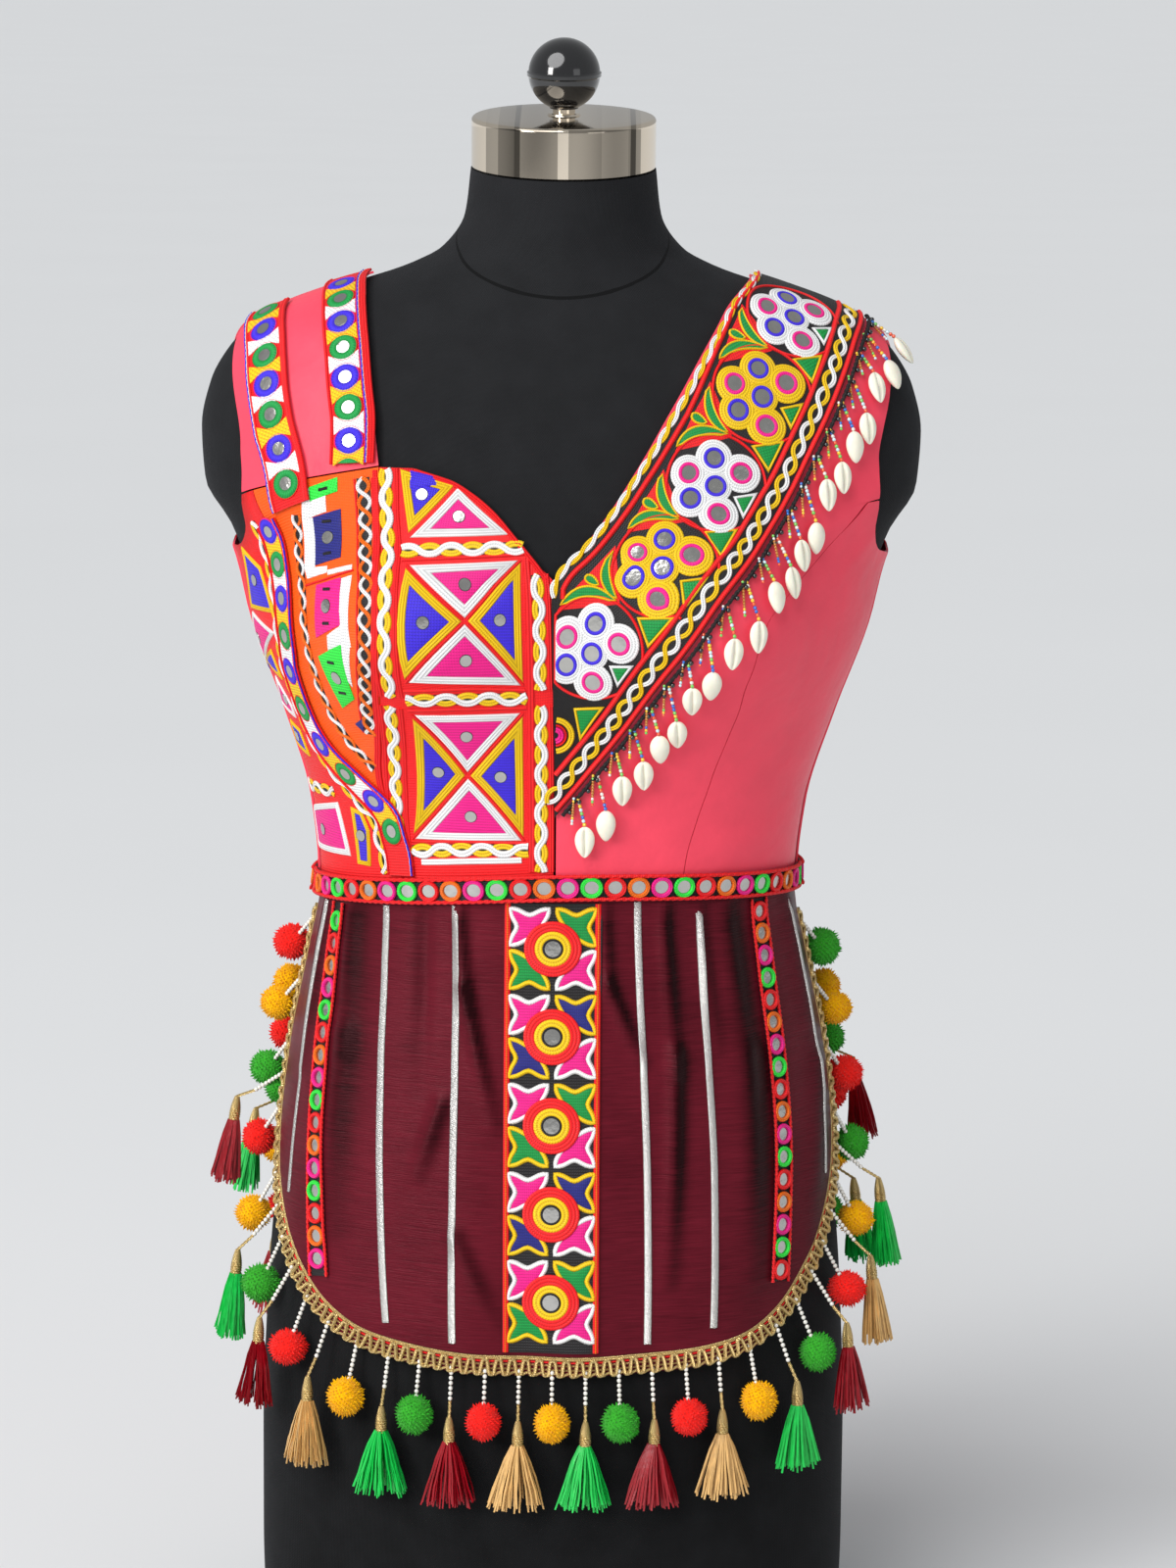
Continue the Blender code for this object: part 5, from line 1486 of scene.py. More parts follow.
# %% The side front, from the same printed cloth
side = Ground("side_front_threads", front_stand, CLOTH)
seam = at_levels(PRINCESS_RIGHT, np.linspace(628, 441, 60))
beside_ribbon = Route(beside(seam, -11.0))
wave_chain(side, beside_ribbon, "white", "yellow", 2.0, 2.6)
wave_chain(side, route_through((-88.5, 478), (-78, 480), (-68.0, 481)), "white", "yellow", 2.4, 2.8)
SIDE_SHAPES = (
    ((-78.6, 609.0), (-72.4, 601.0), (-69.4, 577.0), (-80.6, 576.0)),
    ((-80.4, 574.5), (-70.6, 566.5), (-83.6, 545.5), (-86.6, 560.0)),
    ((-88.0, 553.0), (-86.0, 544.0), (-74.6, 557.0), (-74.0, 540.0)),
    ((-78.6, 541.0), (-74.4, 526.0), (-74.6, 519.0), (-84.6, 524.0)),
    ((-80.6, 516.5), (-74.8, 513.0), (-74.6, 498.0), (-83.6, 502.0)),
    ((-87.6, 466.0), (-67.3, 475.5), (-64.6, 446.5), (-87.0, 443.0)),
    ((-62.6, 474.6), (-58.8, 472.6), (-57.0, 462.9), (-57.6, 443.0), (-62.2, 443.0)),
)
MIRROR_NEEDS, BROAD_NEEDS = 150, 700           # twice the area that takes a mirror, a broad frame
for k, corners in enumerate(SIDE_SHAPES):
    steps = np.roll(corners, -1, 0) - np.roll(corners, 1, 0)
    area = abs(np.sum(np.array(corners)[:, 0] * steps[:, 1]))
    badge(side, corners, *PAIRS[(k + 1) % 2], area > MIRROR_NEEDS, 2.6 if area < BROAD_NEEDS else 3.6)
side.finish("red_embroidery")

# %% [markdown]
# ## The slanting border
# A black band with a red cord on either edge. Along it lie round cells, each holding a flower of
# five petals round a middle; every petal is a cone of stitching with a mirror at its top. Between
# the cells grow pairs of curved leaves on the inner side and small leaves on the outer side.
# A chain of linked loops and a second cord run along the outer edge.

# %% The border's ground, cords and chains
BORDER_THICK = 0.8
edges = line(BORDER_INNER, 105), line(BORDER_OUTER, 105)
band = cloth_wall("slanting_border_band", between(*edges, 20), front_stand, RIBBON_UNDER, BORDER_THICK)
finish_piece(band, COTTON_THREAD["black"], "black_embroidery", "slanting_border_left")
border = Ground("border", front_stand, RIBBON_UNDER + BORDER_THICK)
inner_edge, outer_edge = (Route(edge) for edge in edges)
INSIDE = -0.8                                  # the bearing of the work's straight edge


def clear_of_edge(places):
    """Leaves out what would lie beyond the straight edge at centre front."""
    return places[places[:, 0] > INSIDE]


s = inner_edge.steps(200, 0.8)
inner_cord = inner_edge.at(s, -np.interp(s, (0, 210, 275), (6.4, 6.4, 1.9)))
border.row("red", clear_of_edge(inner_cord[s > 90]), 2.8, 1.25)
wave_chain(border, inner_edge, "white", "yellow", 1.1, 2.3, first=92.0, last=330.0, across=-1.4,
           period=19.5, linked=True, bed=False)
s = outer_edge.steps(200, 0.8)
for across in (2.0, 14.5):
    border.row("red", clear_of_edge(outer_edge.at(s, across)), 2.9, 1.25)
wave_chain(border, outer_edge, "yellow", "white", 2.7, 2.6, first=5.0, last=outer_edge.length - 1.5,
           across=8.25, period=21.0, linked=True, bed=False)

# %% Flowers and leaves
# For each flower: how far along the border, and its size.
FLOWERS = ((45.6, 1.0), (101.0, 1.0), (152.2, 0.98), (206.6, 1.0), (258.8, 0.96))
# For each petal: degrees from the border's direction towards its inner side, distance, ring.
PETALS = ((31, 15.5, "violet"), (-31, 15.7, "magenta"), (-145, 14.8, "magenta"), (147, 14.8, "violet"),
          (94, 16.0, "magenta"))
CELL, CELL_STEP, CELL_SHIFT = 26.5, 53.3, (2.0, 1.5)
flower_line = Route(line(((-3.5, 528), (0.8, 540), (9.3, 565.7), (25.4, 610.2), (40.2, 656.9),
                          (54.9, 695.4), (71.5, 719.6), (90, 728)), 90))


def on_border(places):
    """Keeps the work within the border's straight edge at centre front."""
    return np.stack([np.maximum(places[..., 0], INSIDE), places[..., 1]], -1)


def cell_place(flower, along, across):
    """Millimetres along the border and towards its inner side, from a flower's middle."""
    s0, size = flower
    return on_border(flower_line.at(s0 + np.asarray(along) * size, np.asarray(across) * size))


def petal_spot(flower, degrees, away):
    turn = math.radians(degrees)
    s0, size = flower
    spot = spot_on(flower_line, s0 + away * size * math.cos(turn), away * size * math.sin(turn))
    return lambda x, y: on_border(spot(x * size, y * size))


def blossom(flower, colour):
    for degrees, away, ring in (*PETALS, (0, 0.3, "violet")):
        spot = petal_spot(flower, degrees, away)
        cone(border, colour, spot, 10.3 if away > 1 else 8.8, 5.5, 1.15, 0.45, 3, 26)
        cone(border, ring, spot, 6.1, 3.9, 1.35, 1.15, 1, 20)
        disc(border, "mirror", spot, 4.2, 1.45, 16)


def leaf(flower, stretch, points, widest, lift=0.0):
    """A leaf along a curve through three points: green, within a yellow row."""
    share = np.linspace(0, 1, 13)[:, None]
    a, b, c = (np.array(p, float) * (stretch, 1) for p in points)
    middle = ((1 - share) * (1 - 2 * share) * a + 4 * share * (1 - share) * b
              + share * (2 * share - 1) * c)
    travel = unit(np.gradient(middle, axis=0))
    swell = widest / 2 * np.sin(math.pi * (0.05 + 0.9 * share)) ** 0.8
    aside = np.stack([-travel[:, 1], travel[:, 0]], -1) * swell
    outline = np.concatenate([middle + aside, (middle - aside)[-2:0:-1]])
    places = cell_place(flower, outline[:, 0], outline[:, 1])
    border.row("yellow", places, 1.5, 0.95, closed=True, lift=lift)
    filled(border, "green", places, 1, 0.6, lift)


def small_leaf(flower, corners, colour):
    along, across = np.array(corners, float).T
    inside = framed(border, colour, cell_place(flower, along, across), 1.6, 1, 4, 0.9)
    filled(border, "green", inside, 4, 0.7)


OUTER_CORD = -22.0                             # the inner one of the two outer cords, from a flower
open_turn = math.asin((CELL_SHIFT[1] - OUTER_CORD) / CELL)
cell_turn = np.linspace(-open_turn, math.pi + open_turn, 60)
for k, flower in enumerate(FLOWERS):
    colour = "white" if k % 2 == 0 else "yellow"
    blossom(flower, colour)
    border.row("red", cell_place(flower, CELL * np.cos(cell_turn) + CELL_SHIFT[0],
                                 CELL * np.sin(cell_turn) + CELL_SHIFT[1]), 1.7, 0.8)
    small_leaf(flower, ((9.4, -20.2), (-7.2, -20.2), (0.6, -10.4)), colour)
    if k == 0:
        small_leaf(flower, ((-20.5, -20.4), (-44.1, -20.4), (-30.1, -7.3)), "yellow")
    if k == len(FLOWERS) - 1:
        continue
    stretch = (FLOWERS[k + 1][0] - flower[0]) / CELL_STEP / flower[1]
    patch = np.array([(46.6, 29.0), (27.6, 4.5), (5.0, 29.0), (27.0, 29.6)]) * (stretch, 1)
    filled(border, "red", cell_place(flower, *patch.T), 5, 0.3)
    leaf(flower, stretch, ((43.6, 28.4), (32.8, 20.7), (28.3, 8.0)), 5.0)
    leaf(flower, stretch, ((7.8, 29.0), (20.6, 23.2), (27.2, 7.4)), 5.0, 0.1)
    leaf(flower, stretch, ((26.7, 30.0), (26.6, 26.4), (26.9, 20.6)), 4.6, 0.1)
    small_leaf(flower, np.array([(20.3, -20.3), (40.4, -20.2), (28.5, -6.2)]) * (stretch, 1), "yellow")
for radius, colour in ((8.6, "yellow"), (5.6, "red"), (3.2, "magenta")):
    half_turn = np.radians(np.linspace(-86, 86, 20))
    places = around(np.array([-0.7, 522.0]), radius * np.stack([np.cos(half_turn), np.sin(half_turn)], -1))
    border.row(colour, places, {"red": 1.2}.get(colour, 3.2), 0.9, 1 if colour == "red" else 2)
border.finish("black_embroidery")

# %% [markdown]
# ## The cowrie fringe
# A twisted cord with jet beads along the border's outer edge. Each string of seed beads ends in a
# cowrie: an egg-shaped shell, flatter in front, with a toothed slit down the middle; shells hang
# with their backs or their slits to the front. A second string, with amber beads, hangs beside it.

# %% Cord, strings and shells
COWRIES, COWRIE_LEAN = 21, 0.35
COWRIE_LONG, COWRIE_WIDE, COWRIE_DEEP = 17.0, 10.5, 7.0
COWRIE_CORD_WIDE, COWRIE_STRING = 3.0, (16.0, 20.0, 13.0, 18.0)
SEED_RADIUS, JET_RADIUS, JET_STEP = 1.05, 1.35, 7.6
SEED_COLOURS = ("blue", "ice", "white", "grass", "sun", "coral")


def cowrie_grid(slit):
    """A shell as rows from top to foot: an egg in outline, its front pressed flat; where the slit
    shows, a groove runs down the middle with teeth across it."""
    share = np.linspace(0.012, 0.988, 22)[:, None]
    turn = full_turn(24)
    wide = np.sin(math.pi * share ** 0.82) ** 0.62
    x, z = np.cos(turn) * wide, np.sin(turn) * wide
    z = np.where(z > 0, z * (0.72 if slit else 1.0), z * 0.8)
    if slit:
        ahead = np.sin(turn) > 0
        groove = np.exp(-(x / 0.13) ** 2) * ahead * np.clip(np.sin(math.pi * share) * 2, 0, 1)
        teeth = 0.06 * np.sin(share * 70) * np.exp(-((np.abs(x) - 0.2) / 0.1) ** 2) * ahead
        z = z - 0.42 * groove + teeth
    size = x * COWRIE_WIDE / 2, z * COWRIE_DEEP / 2, share * COWRIE_LONG
    return together(*size)


def fringe():
    """The cord, a jet bead every few millimetres below it, then string after string of beads:
    the colours of the seed beads are drawn by chance."""
    ground = Ground("cowrie_fringe", front_stand, RIBBON_UNDER)
    route = Route(line(BORDER_OUTER, 130))
    cord = route.at(np.linspace(4, route.length - 1, 200), -0.9 - COWRIE_CORD_WIDE / 2)
    twisted(ground.piles["black"], ground.points(cord), outward(cord), 1.25, 3.0, 0.9)
    piles = {colour: Pile() for colour in (*SEED_COLOURS, "amber", "jet", "shell")}
    at = np.arange(8, route.length - 4, JET_STEP)
    spots = route.at(at, -1.2 - COWRIE_CORD_WIDE)
    BEAD.place_in(piles["jet"], ground.points(spots, 1.4), np.tile(np.eye(3), (len(at), 1, 1)), JET_RADIUS)
    edge = line(BORDER_OUTER, 27)
    at = np.linspace(17, path_length(on_skin(edge))[-1] - 8, COWRIES)
    for k, spot, out, drop, _ in zip(range(COWRIES), *edge_frame(edge, at)):
        fixed = moved(spot, out * (0.7 + COWRIE_CORD_WIDE * 0.5))
        stand = front_stand(fixed) + RIBBON_UNDER
        root = standing(fixed, stand + 0.8)
        direction = unit(drop + COWRIE_LEAN * out)
        at_top = moved(fixed, direction * COWRIE_STRING[k % len(COWRIE_STRING)])
        at_middle = moved(at_top, drop * COWRIE_LONG / 2)
        high = stand + COWRIE_DEEP / 2 + 0.3
        top, middle = standing(at_top, high), standing(at_middle, high)
        axis = unit(middle - top)
        lateral = unit(np.cross(axis, outward(at_middle)))
        facing = np.cross(lateral, axis)
        grid = cowrie_grid(k % 3 != 1)
        rings = top + grid[..., :1] * lateral + grid[..., 1:2] * facing + grid[..., 2:] * axis
        piles["shell"].tube(rings[:, ::-1], grid[:, ::-1, :2])
        beside_shell = root + (middle - root) * 0.62 + 5.4 * lateral
        for start, end, size in (root, top, 1.0), (root + 2.0 * lateral, beside_shell, 0.8):
            count = int(np.linalg.norm(end - start) / (1.75 * SEED_RADIUS * size))
            for part in (np.arange(count) + 0.5) / count:
                amber = size < 1 and 0.2 < part < 0.75
                colour = "amber" if amber else SEED_COLOURS[random.integers(len(SEED_COLOURS))]
                BEAD.place_in(piles[colour], (start + (end - start) * part)[None],
                              frames_along(end - start), SEED_RADIUS * size)
    ground.finish("cowrie_shell", "cowrie_fringe")
    finishes = {**GLASS, "shell": SHELL, "white": PEARL}
    for colour, pile in piles.items():
        pile.object("fringe_" + colour, finishes[colour], "cowrie_shell", sharp=60)
    print("cowries:", COWRIES)

# %% [markdown]
# ## The waistband
# A black ribbon covers the seam between bodice and peplum. It carries a row of small round
# mirrors, each held by a buttonholed ring of silk in orange, pink, green and red by turns, and a
# red twisted cord along either edge.

# %% Ringed mirrors in a row
RING_TURN = ("orange", "magenta", "lime", "red")
RING_ACROSS, RING_THICK, RING_STEP = 4.75, 1.2, 12.1
EDGE_CORD = 1.15


def ringed_mirrors(ground, route, first, last, step, start_colour, radius=RING_ACROSS):
    """Mirrors along a route: a disc, and a closed cord round it."""
    count = int((last - first) / step)
    at = first + ((last - first) - count * step) / 2 + np.arange(count + 1) * step
    for k, centre in enumerate(route.at(at)):
        places = circle(centre, radius, 16)
        colour = RING_TURN[(k + start_colour) % len(RING_TURN)]
        carry(ground.piles[colour], ground.points(places), outward(places),
              round_cord(RING_THICK, 6, 0.8), True, 2)
        ground.mirror(centre, radius - 0.5, 0.5, 14)


def waist_line(start, end, count, drop):
    bearing = np.linspace(start, end, count)
    return np.stack([bearing, waist(bearing) - drop], -1)


BAND_OFF, BAND_THICK = CLOTH + 1.0, 0.9
END_GAP, CORD_IN = 5.5, 0.6                    # from a band's end to a mirror, from its edge to a cord
for name, start, end, stand, turn in (("waistband_front", -89.8, 89.8, clearance, 3),
                                      ("waistband_back", 90.2, 269.8, back_clearance, 1)):
    places = between(waist_line(start, end, 97, 0), waist_line(start, end, 97, BAND_TALL), 3)
    ribbon = cloth_wall(name + "_ribbon", places, stand, BAND_OFF, BAND_THICK)
    finish_piece(ribbon, COTTON_THREAD["black"], "mirror_ribbon", name)
    band = Ground(name, stand, BAND_OFF + BAND_THICK)
    centre = Route(waist_line(start, end, 120, BAND_TALL / 2))
    ringed_mirrors(band, centre, END_GAP, centre.length - END_GAP, RING_STEP, turn)
    for drop in (CORD_IN, BAND_TALL - CORD_IN):
        band.cord("red", waist_line(start, end, 160, drop), EDGE_CORD, 3.8)
    band.finish("mirror_ribbon")

# %% [markdown]
# ## The peplum
# Two rounded flaps of wine-red slubbed silk. A flap's places are a Coons patch between the waist,
# the hem and two edges: left to right, plus bottom to top, less the blend of the four corners.
# The silk falls in soft upright folds, pinched under the band, so the creases run downwards.

# %% Cutting the flaps
FLAP_CORNER, BAND_SHARE = 0.66, 0.06
SILK_CREASES = (
    # bearing, level, to bearing, to level, width, depth, how dark the painted shade beside the fold is
    (-64.0, 419, -59.0, 345, 8.0, 3.0, 0.8), (-59.5, 352, -57.0, 250, 8.0, 2.4, 0.7),
    (-76.0, 416, -72.0, 330, 5.0, 2.3, 0.5), (-41.0, 419, -37.0, 330, 5.5, -1.8, 0.35),
    (-30.5, 419, -27.0, 372, 4.2, 2.6, 0.7), (-28.0, 384, -17.0, 313, 4.6, 3.3, 0.8),
    (-31.5, 322, -36.5, 284, 4.8, 2.9, 0.7), (-26.0, 254, -15.0, 208, 4.8, 2.4, 0.5),
    (15.5, 419, 16.5, 384, 4.2, 2.8, 0.7), (16.0, 388, 25.0, 346, 4.4, 3.4, 0.85),
    (33.5, 419, 34.2, 340, 4.6, 3.4, 1.0), (34.2, 350, 29.3, 230, 4.6, 3.6, 1.0),
    (51.5, 419, 52.6, 330, 8.5, 3.6, 1.0), (52.6, 345, 49.0, 228, 9.0, 3.4, 1.0),
    (44.0, 419, 45.5, 350, 4.0, 2.2, 0.5), (75.5, 412, 76.0, 320, 9.0, 2.6, 0.9),
    (76.0, 330, 66.0, 240, 9.0, 2.4, 0.9),
    (122.0, 416, 126.0, 300, 6.8, -1.8, 0.4), (140.0, 418, 142.0, 320, 7.0, 3.4, 0.7),
    (163.0, 416, 160.0, 300, 7.5, 3.6, 0.7), (182.0, 416, 184.0, 250, 7.6, -1.8, 0.4),
    (200.0, 416, 205.0, 320, 7.5, 3.8, 0.8), (226.0, 416, 222.0, 290, 7.6, -2.0, 0.4),
    (240.0, 416, 238.0, 330, 5.1, 2.6, 0.6), (150.0, 300, 154.0, 215, 8.0, 3.0, 0.6),
    (212.0, 290, 206.0, 215, 8.0, 3.0, 0.6),
)
silk_stand = creased(flap_stand, SILK_CREASES)
TRIM_ROWS, TRIM_COLUMNS = 9, 20                # the grid whose edge the hem trim follows
FLAP_ROWS, FLAP_COLUMNS = 84, 132
# Painted shade is moved aside from each fold by this share of its width.
PAINTED_SHADE_ASIDE = 0.7                             # where a fold turns away, as a share of its width


def flap_places(table, rows, columns):
    """The table gives half the outline, from the waist down to the hem's middle; the other half
    is its mirror image. It turns into the hem where FLAP_CORNER of its length is used up."""
    turned_back = table[-1][0] > 90
    heights = np.append(np.linspace(0, 1 - BAND_SHARE, rows), 1)
    side = line(table, fractions=FLAP_CORNER * (1 - heights))
    half = line(table, fractions=np.linspace(FLAP_CORNER, 1, columns // 2 + 1))
    flip = (lambda p: p * (-1, 1) + (360, 0)) if turned_back else mirrored
    first, last = (side, flip(side)) if turned_back else (flip(side), side)
    start, end = (half, flip(half)) if turned_back else (flip(half), half)
    bottom = np.concatenate([start, end[-2::-1]])
    bearing = np.linspace(first[-1, 0], last[-1, 0], columns + 1)
    top = np.stack([bearing, waist(bearing) - BAND_OVERLAP - AIR], -1)
    u = np.linspace(0, 1, columns + 1)[None, :, None]
    v = heights[:, None, None]
    first, last = first.copy(), last.copy()
    first[-1], last[-1] = top[0], top[-1]
    corners = ((bottom[0] * (1 - u) + bottom[-1] * u) * (1 - v)
               + (top[0] * (1 - u) + top[-1] * u) * v)
    return first[:, None] * (1 - u) + last[:, None] * u + bottom[None] * (1 - v) + top[None] * v - corners


for name, table in (("peplum_front", HEM_FRONT), ("peplum_back", HEM_BACK)):
    places = flap_places(table, FLAP_ROWS, FLAP_COLUMNS)
    flap = cloth_wall(name + "_silk", places, silk_stand)
    # Painted shade: beside each fold the silk's colour is darkened by the fold's own amount, kept as the
    # point attribute turned.
    away = sum(fold[6] * fold_bell(places, fold, PAINTED_SHADE_ASIDE * np.sign(fold[5]) * fold[4])
               for fold in SILK_CREASES)
    flap.data.attributes.new("turned", "FLOAT", "POINT").data.foreach_set(
        "value", np.tile(np.minimum(away, 1.0).ravel(), 2).astype(np.float32))
    finish_piece(flap, SILK, "maroon_silk", name)

# %% [markdown]
# ## Braids and ribbons on the peplum
# Six silver braids run down the front flap. A braid is a flat plait of foil, so its surface rises
# and falls in slanting ridges. Two ribbons of ringed mirrors and the wide centre strip lie
# between them.

# %% Routes down the flap
GOTA_WIDE, GOTA_THIN, RING_RIBBON_WIDE, CENTRE_STRIP_WIDE = 3.8, 2.2, 12.0, 50.0
RIDGE_STEP, RIDGE_SLANT, BRAID_START = 2.4, 0.7, 1.5
FLAP_RIBBON, ON_RIBBON = 0.6, CLOTH + ON_CLOTH + 0.6
PEPLUM_BRAIDS = (
    # name, width, bearing at the waist, bearing at mid height, bearing at the foot, foot level
    ("gota_braid_1", GOTA_WIDE, -52.7, -47.0, -41.6, 204),
    ("gota_braid_2", GOTA_WIDE, -31.8, -27.6, -25.4, 197),
    ("gota_braid_3", GOTA_WIDE, 25.8, 25.3, 24.3, 197),
    ("gota_braid_4", GOTA_WIDE, 44.0, 42.3, 39.6, 204),
    ("gota_braid_thin_right", GOTA_THIN, -74.6, -72.2, -69.6, 262),
    ("gota_braid_thin_left", GOTA_THIN, 75.4, 76.0, 73.0, 273),
    ("ring_ribbon_right", RING_RIBBON_WIDE, -68.6, -64.0, -57.6, 223),
    ("ring_ribbon_left", RING_RIBBON_WIDE, 63.0, 61.3, 56.0, 223),
    ("centre_strip", CENTRE_STRIP_WIDE, -1.0, -0.8, -0.5, 193),
)


def down_the_flap(high, middle, low, foot, count):
    start = waist(high) - BAND_TALL - BRAID_START
    return Route(line(((high, start), (middle, (start + foot) / 2), (low, foot)), count))


def plait(route, width, stand, under):
    """A braid as a grid: across it a low arch, along it slanting ridges that meet in the middle."""
    steps, across = int(route.length / 0.75), 8
    s = route.steps(steps)[:, None]
    t = np.linspace(-1, 1, across + 1)[None]
    places = route.band(width, steps, across)
    ridge = np.abs(np.sin(math.pi * (s / RIDGE_STEP + np.abs(t) * RIDGE_SLANT)))
    rise = 0.35 + (1 - t ** 2) * 0.35 + 0.3 * ridge
    top = standing(places, stand(places) + under + rise)
    edges = places[:, [-1, 0]]
    rings = np.concatenate([standing(edges, stand(edges) + under - SINK), top], 1)
    uv = together(s, np.linspace(0, width, rings.shape[1])[None])
    pile = Pile()
    pile.tube(rings, uv)
    return pile


routes = {}
for name, width, high, middle, low, foot in PEPLUM_BRAIDS:
    routes[name] = down_the_flap(high, middle, low, foot, 40)
    if name.startswith("gota"):
        braid = plait(routes[name], width, silk_stand, CLOTH)
        braid.object(name + "_plait", SILVER, "silver_gota", name, sharp=180)
        continue
    columns, slot = (24, "black_embroidery") if name == "centre_strip" else (6, "mirror_ribbon")
    places = routes[name].band(width, 90, columns)
    ribbon = cloth_wall(name + "_ribbon", places, silk_stand, CLOTH + ON_CLOTH, FLAP_RIBBON)
    finish_piece(ribbon, COTTON_THREAD["black"], slot, name)

for name, turn in (("ring_ribbon_right", 2), ("ring_ribbon_left", 3)):
    ribbon = Ground(name, silk_stand, ON_RIBBON)
    route = routes[name]
    ringed_mirrors(ribbon, route, 5.0, route.length - 4.0, 12.0, turn, 4.5)
    s = route.steps(80)
    for side in (-1, 1):
        ribbon.cord("red", route.at(s, side * (RING_RIBBON_WIDE / 2 - CORD_IN)), 1.0)
    ribbon.finish("mirror_ribbon")

# %% [markdown]
# ## The centre strip
# A black ribbon with the same motif five times over: a mirror in a yellow and a red ring, and
# four stars of four points behind it, magenta edged with white, green or navy edged with yellow.

# %% Stars and rings
MOTIFS, STRIP_PITCH, STRIP_FIRST, MOTIF_LONG = 5, 46.6, 24.5, 22.0
STAR_ACROSS, STAR_ALONG = 12.0, 11.4           # from the mirror's middle to a star's
strip = Ground("centre_strip", silk_stand, ON_RIBBON)
strip_line = routes["centre_strip"]


def star(radius, pinch, count):
    """A square whose sides are drawn in towards the middle, each by a bell curve."""
    u = np.linspace(-1, 1, count, endpoint=False)
    x, y = u * radius, radius - pinch * np.exp(-(u / 0.5) ** 2)
    quarter = np.stack([x, y], -1)
    turns = [np.array([[c, -d], [d, c]]) for c, d in ((1, 0), (0, -1), (-1, 0), (0, 1))]
    return np.concatenate([quarter @ turn.T for turn in turns])


def motif(spot, colour):
    """Four stars, two of them in the colour that changes, and the ringed mirror over them."""
    for x, y in ((-1, -1), (1, -1), (-1, 1), (1, 1)):
        fill, border = ("magenta", "white") if x * y > 0 else (colour, "yellow")
        row, shape = (spot(-(outline[:, 0] + x * STAR_ACROSS), -(outline[:, 1] - y * STAR_ALONG))
                      for outline in (star(9.9, 3.5, 10), star(8.8, 3.8, 8)))
        filled(strip, fill, shape, 1, 0.7)
        strip.row(border, row, 2.8, 1.0, closed=True)
    cone(strip, "red", spot, 14.7, 9.2, 1.35, 1.15, 3, 40)
    cone(strip, "yellow", spot, 9.4, 5.2, 1.6, 1.35, 2, 32)
    cone(strip, "black", spot, 5.6, 4.2, 1.6, 1.5, 1, 24)
    disc(strip, "mirror", spot, 4.4, 1.75, 20)


for k, middle in enumerate(STRIP_FIRST + np.arange(MOTIFS) * STRIP_PITCH):
    if middle + MOTIF_LONG < strip_line.length:
        motif(spot_on(strip_line, middle), ("green", "navy")[k % 2])
s = strip_line.steps(120, 0.5)
for side in (-1, 1):
    edge_row = strip_line.at(s, side * (CENTRE_STRIP_WIDE / 2 - 1.9))
    strip.row("red", edge_row, 3.4, 0.8, 2)
    strip.row("orange", edge_row, 0.8, 0.4, lift=0.75)
strip.finish("black_embroidery")

# %% [markdown]
# ## The hem trim
# A gold gimp runs round each flap: a corded heading, loops that rise and fall like a square wave
# with rounded corners, and a scalloped cord below. From it hang pompoms and tassels by turns, on
# strings of pearl beads.

# %% Gimp
GIMP_WIDE, GIMP_THICK, LOOP_STEP, LOOP_HIGH, GIMP_CORD = 12.0, 1.8, 7.0, 4.0, 1.05
TAPE_FROM, TAPE_TO = -0.4, -10.8               # the tape's two edges, out from the hem


def hem_edge(table):
    places = flap_places(table, TRIM_ROWS, TRIM_COLUMNS)
    return np.concatenate([places[-2:0:-1, 0], places[0], places[1:-1, -1]])


def make_gimp(name, table):
    """A silk tape carries rows of stitching, the looped cord and the scalloped cord; a scallop
    is the size of a sine."""
    route = Route(hem_edge(table))
    gimp = Ground(name, flap_stand, 0.55)
    s = route.steps(420, 0.5)
    places = between(route.at(s, TAPE_FROM), route.at(s, TAPE_TO), 3)[::-1, ::-1]
    finish_piece(cloth_wall(name + "_tape", places, flap_stand, 0.1, 0.5), SILK, "gold_gimp", name)
    gimp.row("gold", route.at(s, -1.2), 2.6, 0.9, 2)
    turns = int(route.length / LOOP_STEP)
    fine = route.steps(turns * 18, 1)
    phase = math.tau * fine / LOOP_STEP
    for across, colour in ((-3.2, "red"), (-4.8, "gold"), (-7.2, "gold")):
        gimp.row(colour, route.at(s, across), 1.1, 0.5)
    loops = route.at(fine + 0.45 * np.sin(2 * phase), -6.2 + LOOP_HIGH * rounded_wave(phase, 5.0))
    carry(gimp.piles["gold"], gimp.points(loops, 0.15), outward(loops), round_cord(GIMP_CORD, 6, 1.0),
          rows=2)
    scallop = route.at(fine, -10.4 + 1.5 * np.abs(np.sin(phase / 2)))
    carry(gimp.piles["gold"], gimp.points(scallop), outward(scallop), round_cord(0.8, 5, 0.5), rows=2)
    gimp.finish("gold_gimp")


make_gimp("hem_trim_front", HEM_FRONT)
make_gimp("hem_trim_back", HEM_BACK)

# %% [markdown]
# ## Pompoms and tassels
# A pompom is a ball of cut wool: a round core bristling with hundreds of tiny tufts, spread evenly
# by the golden angle. A tassel is a twisted gold cord, a wound head and a skirt of some eighty
# silk strands. Each is worked out as whole arrays, with chance in the length and lean of its hair.

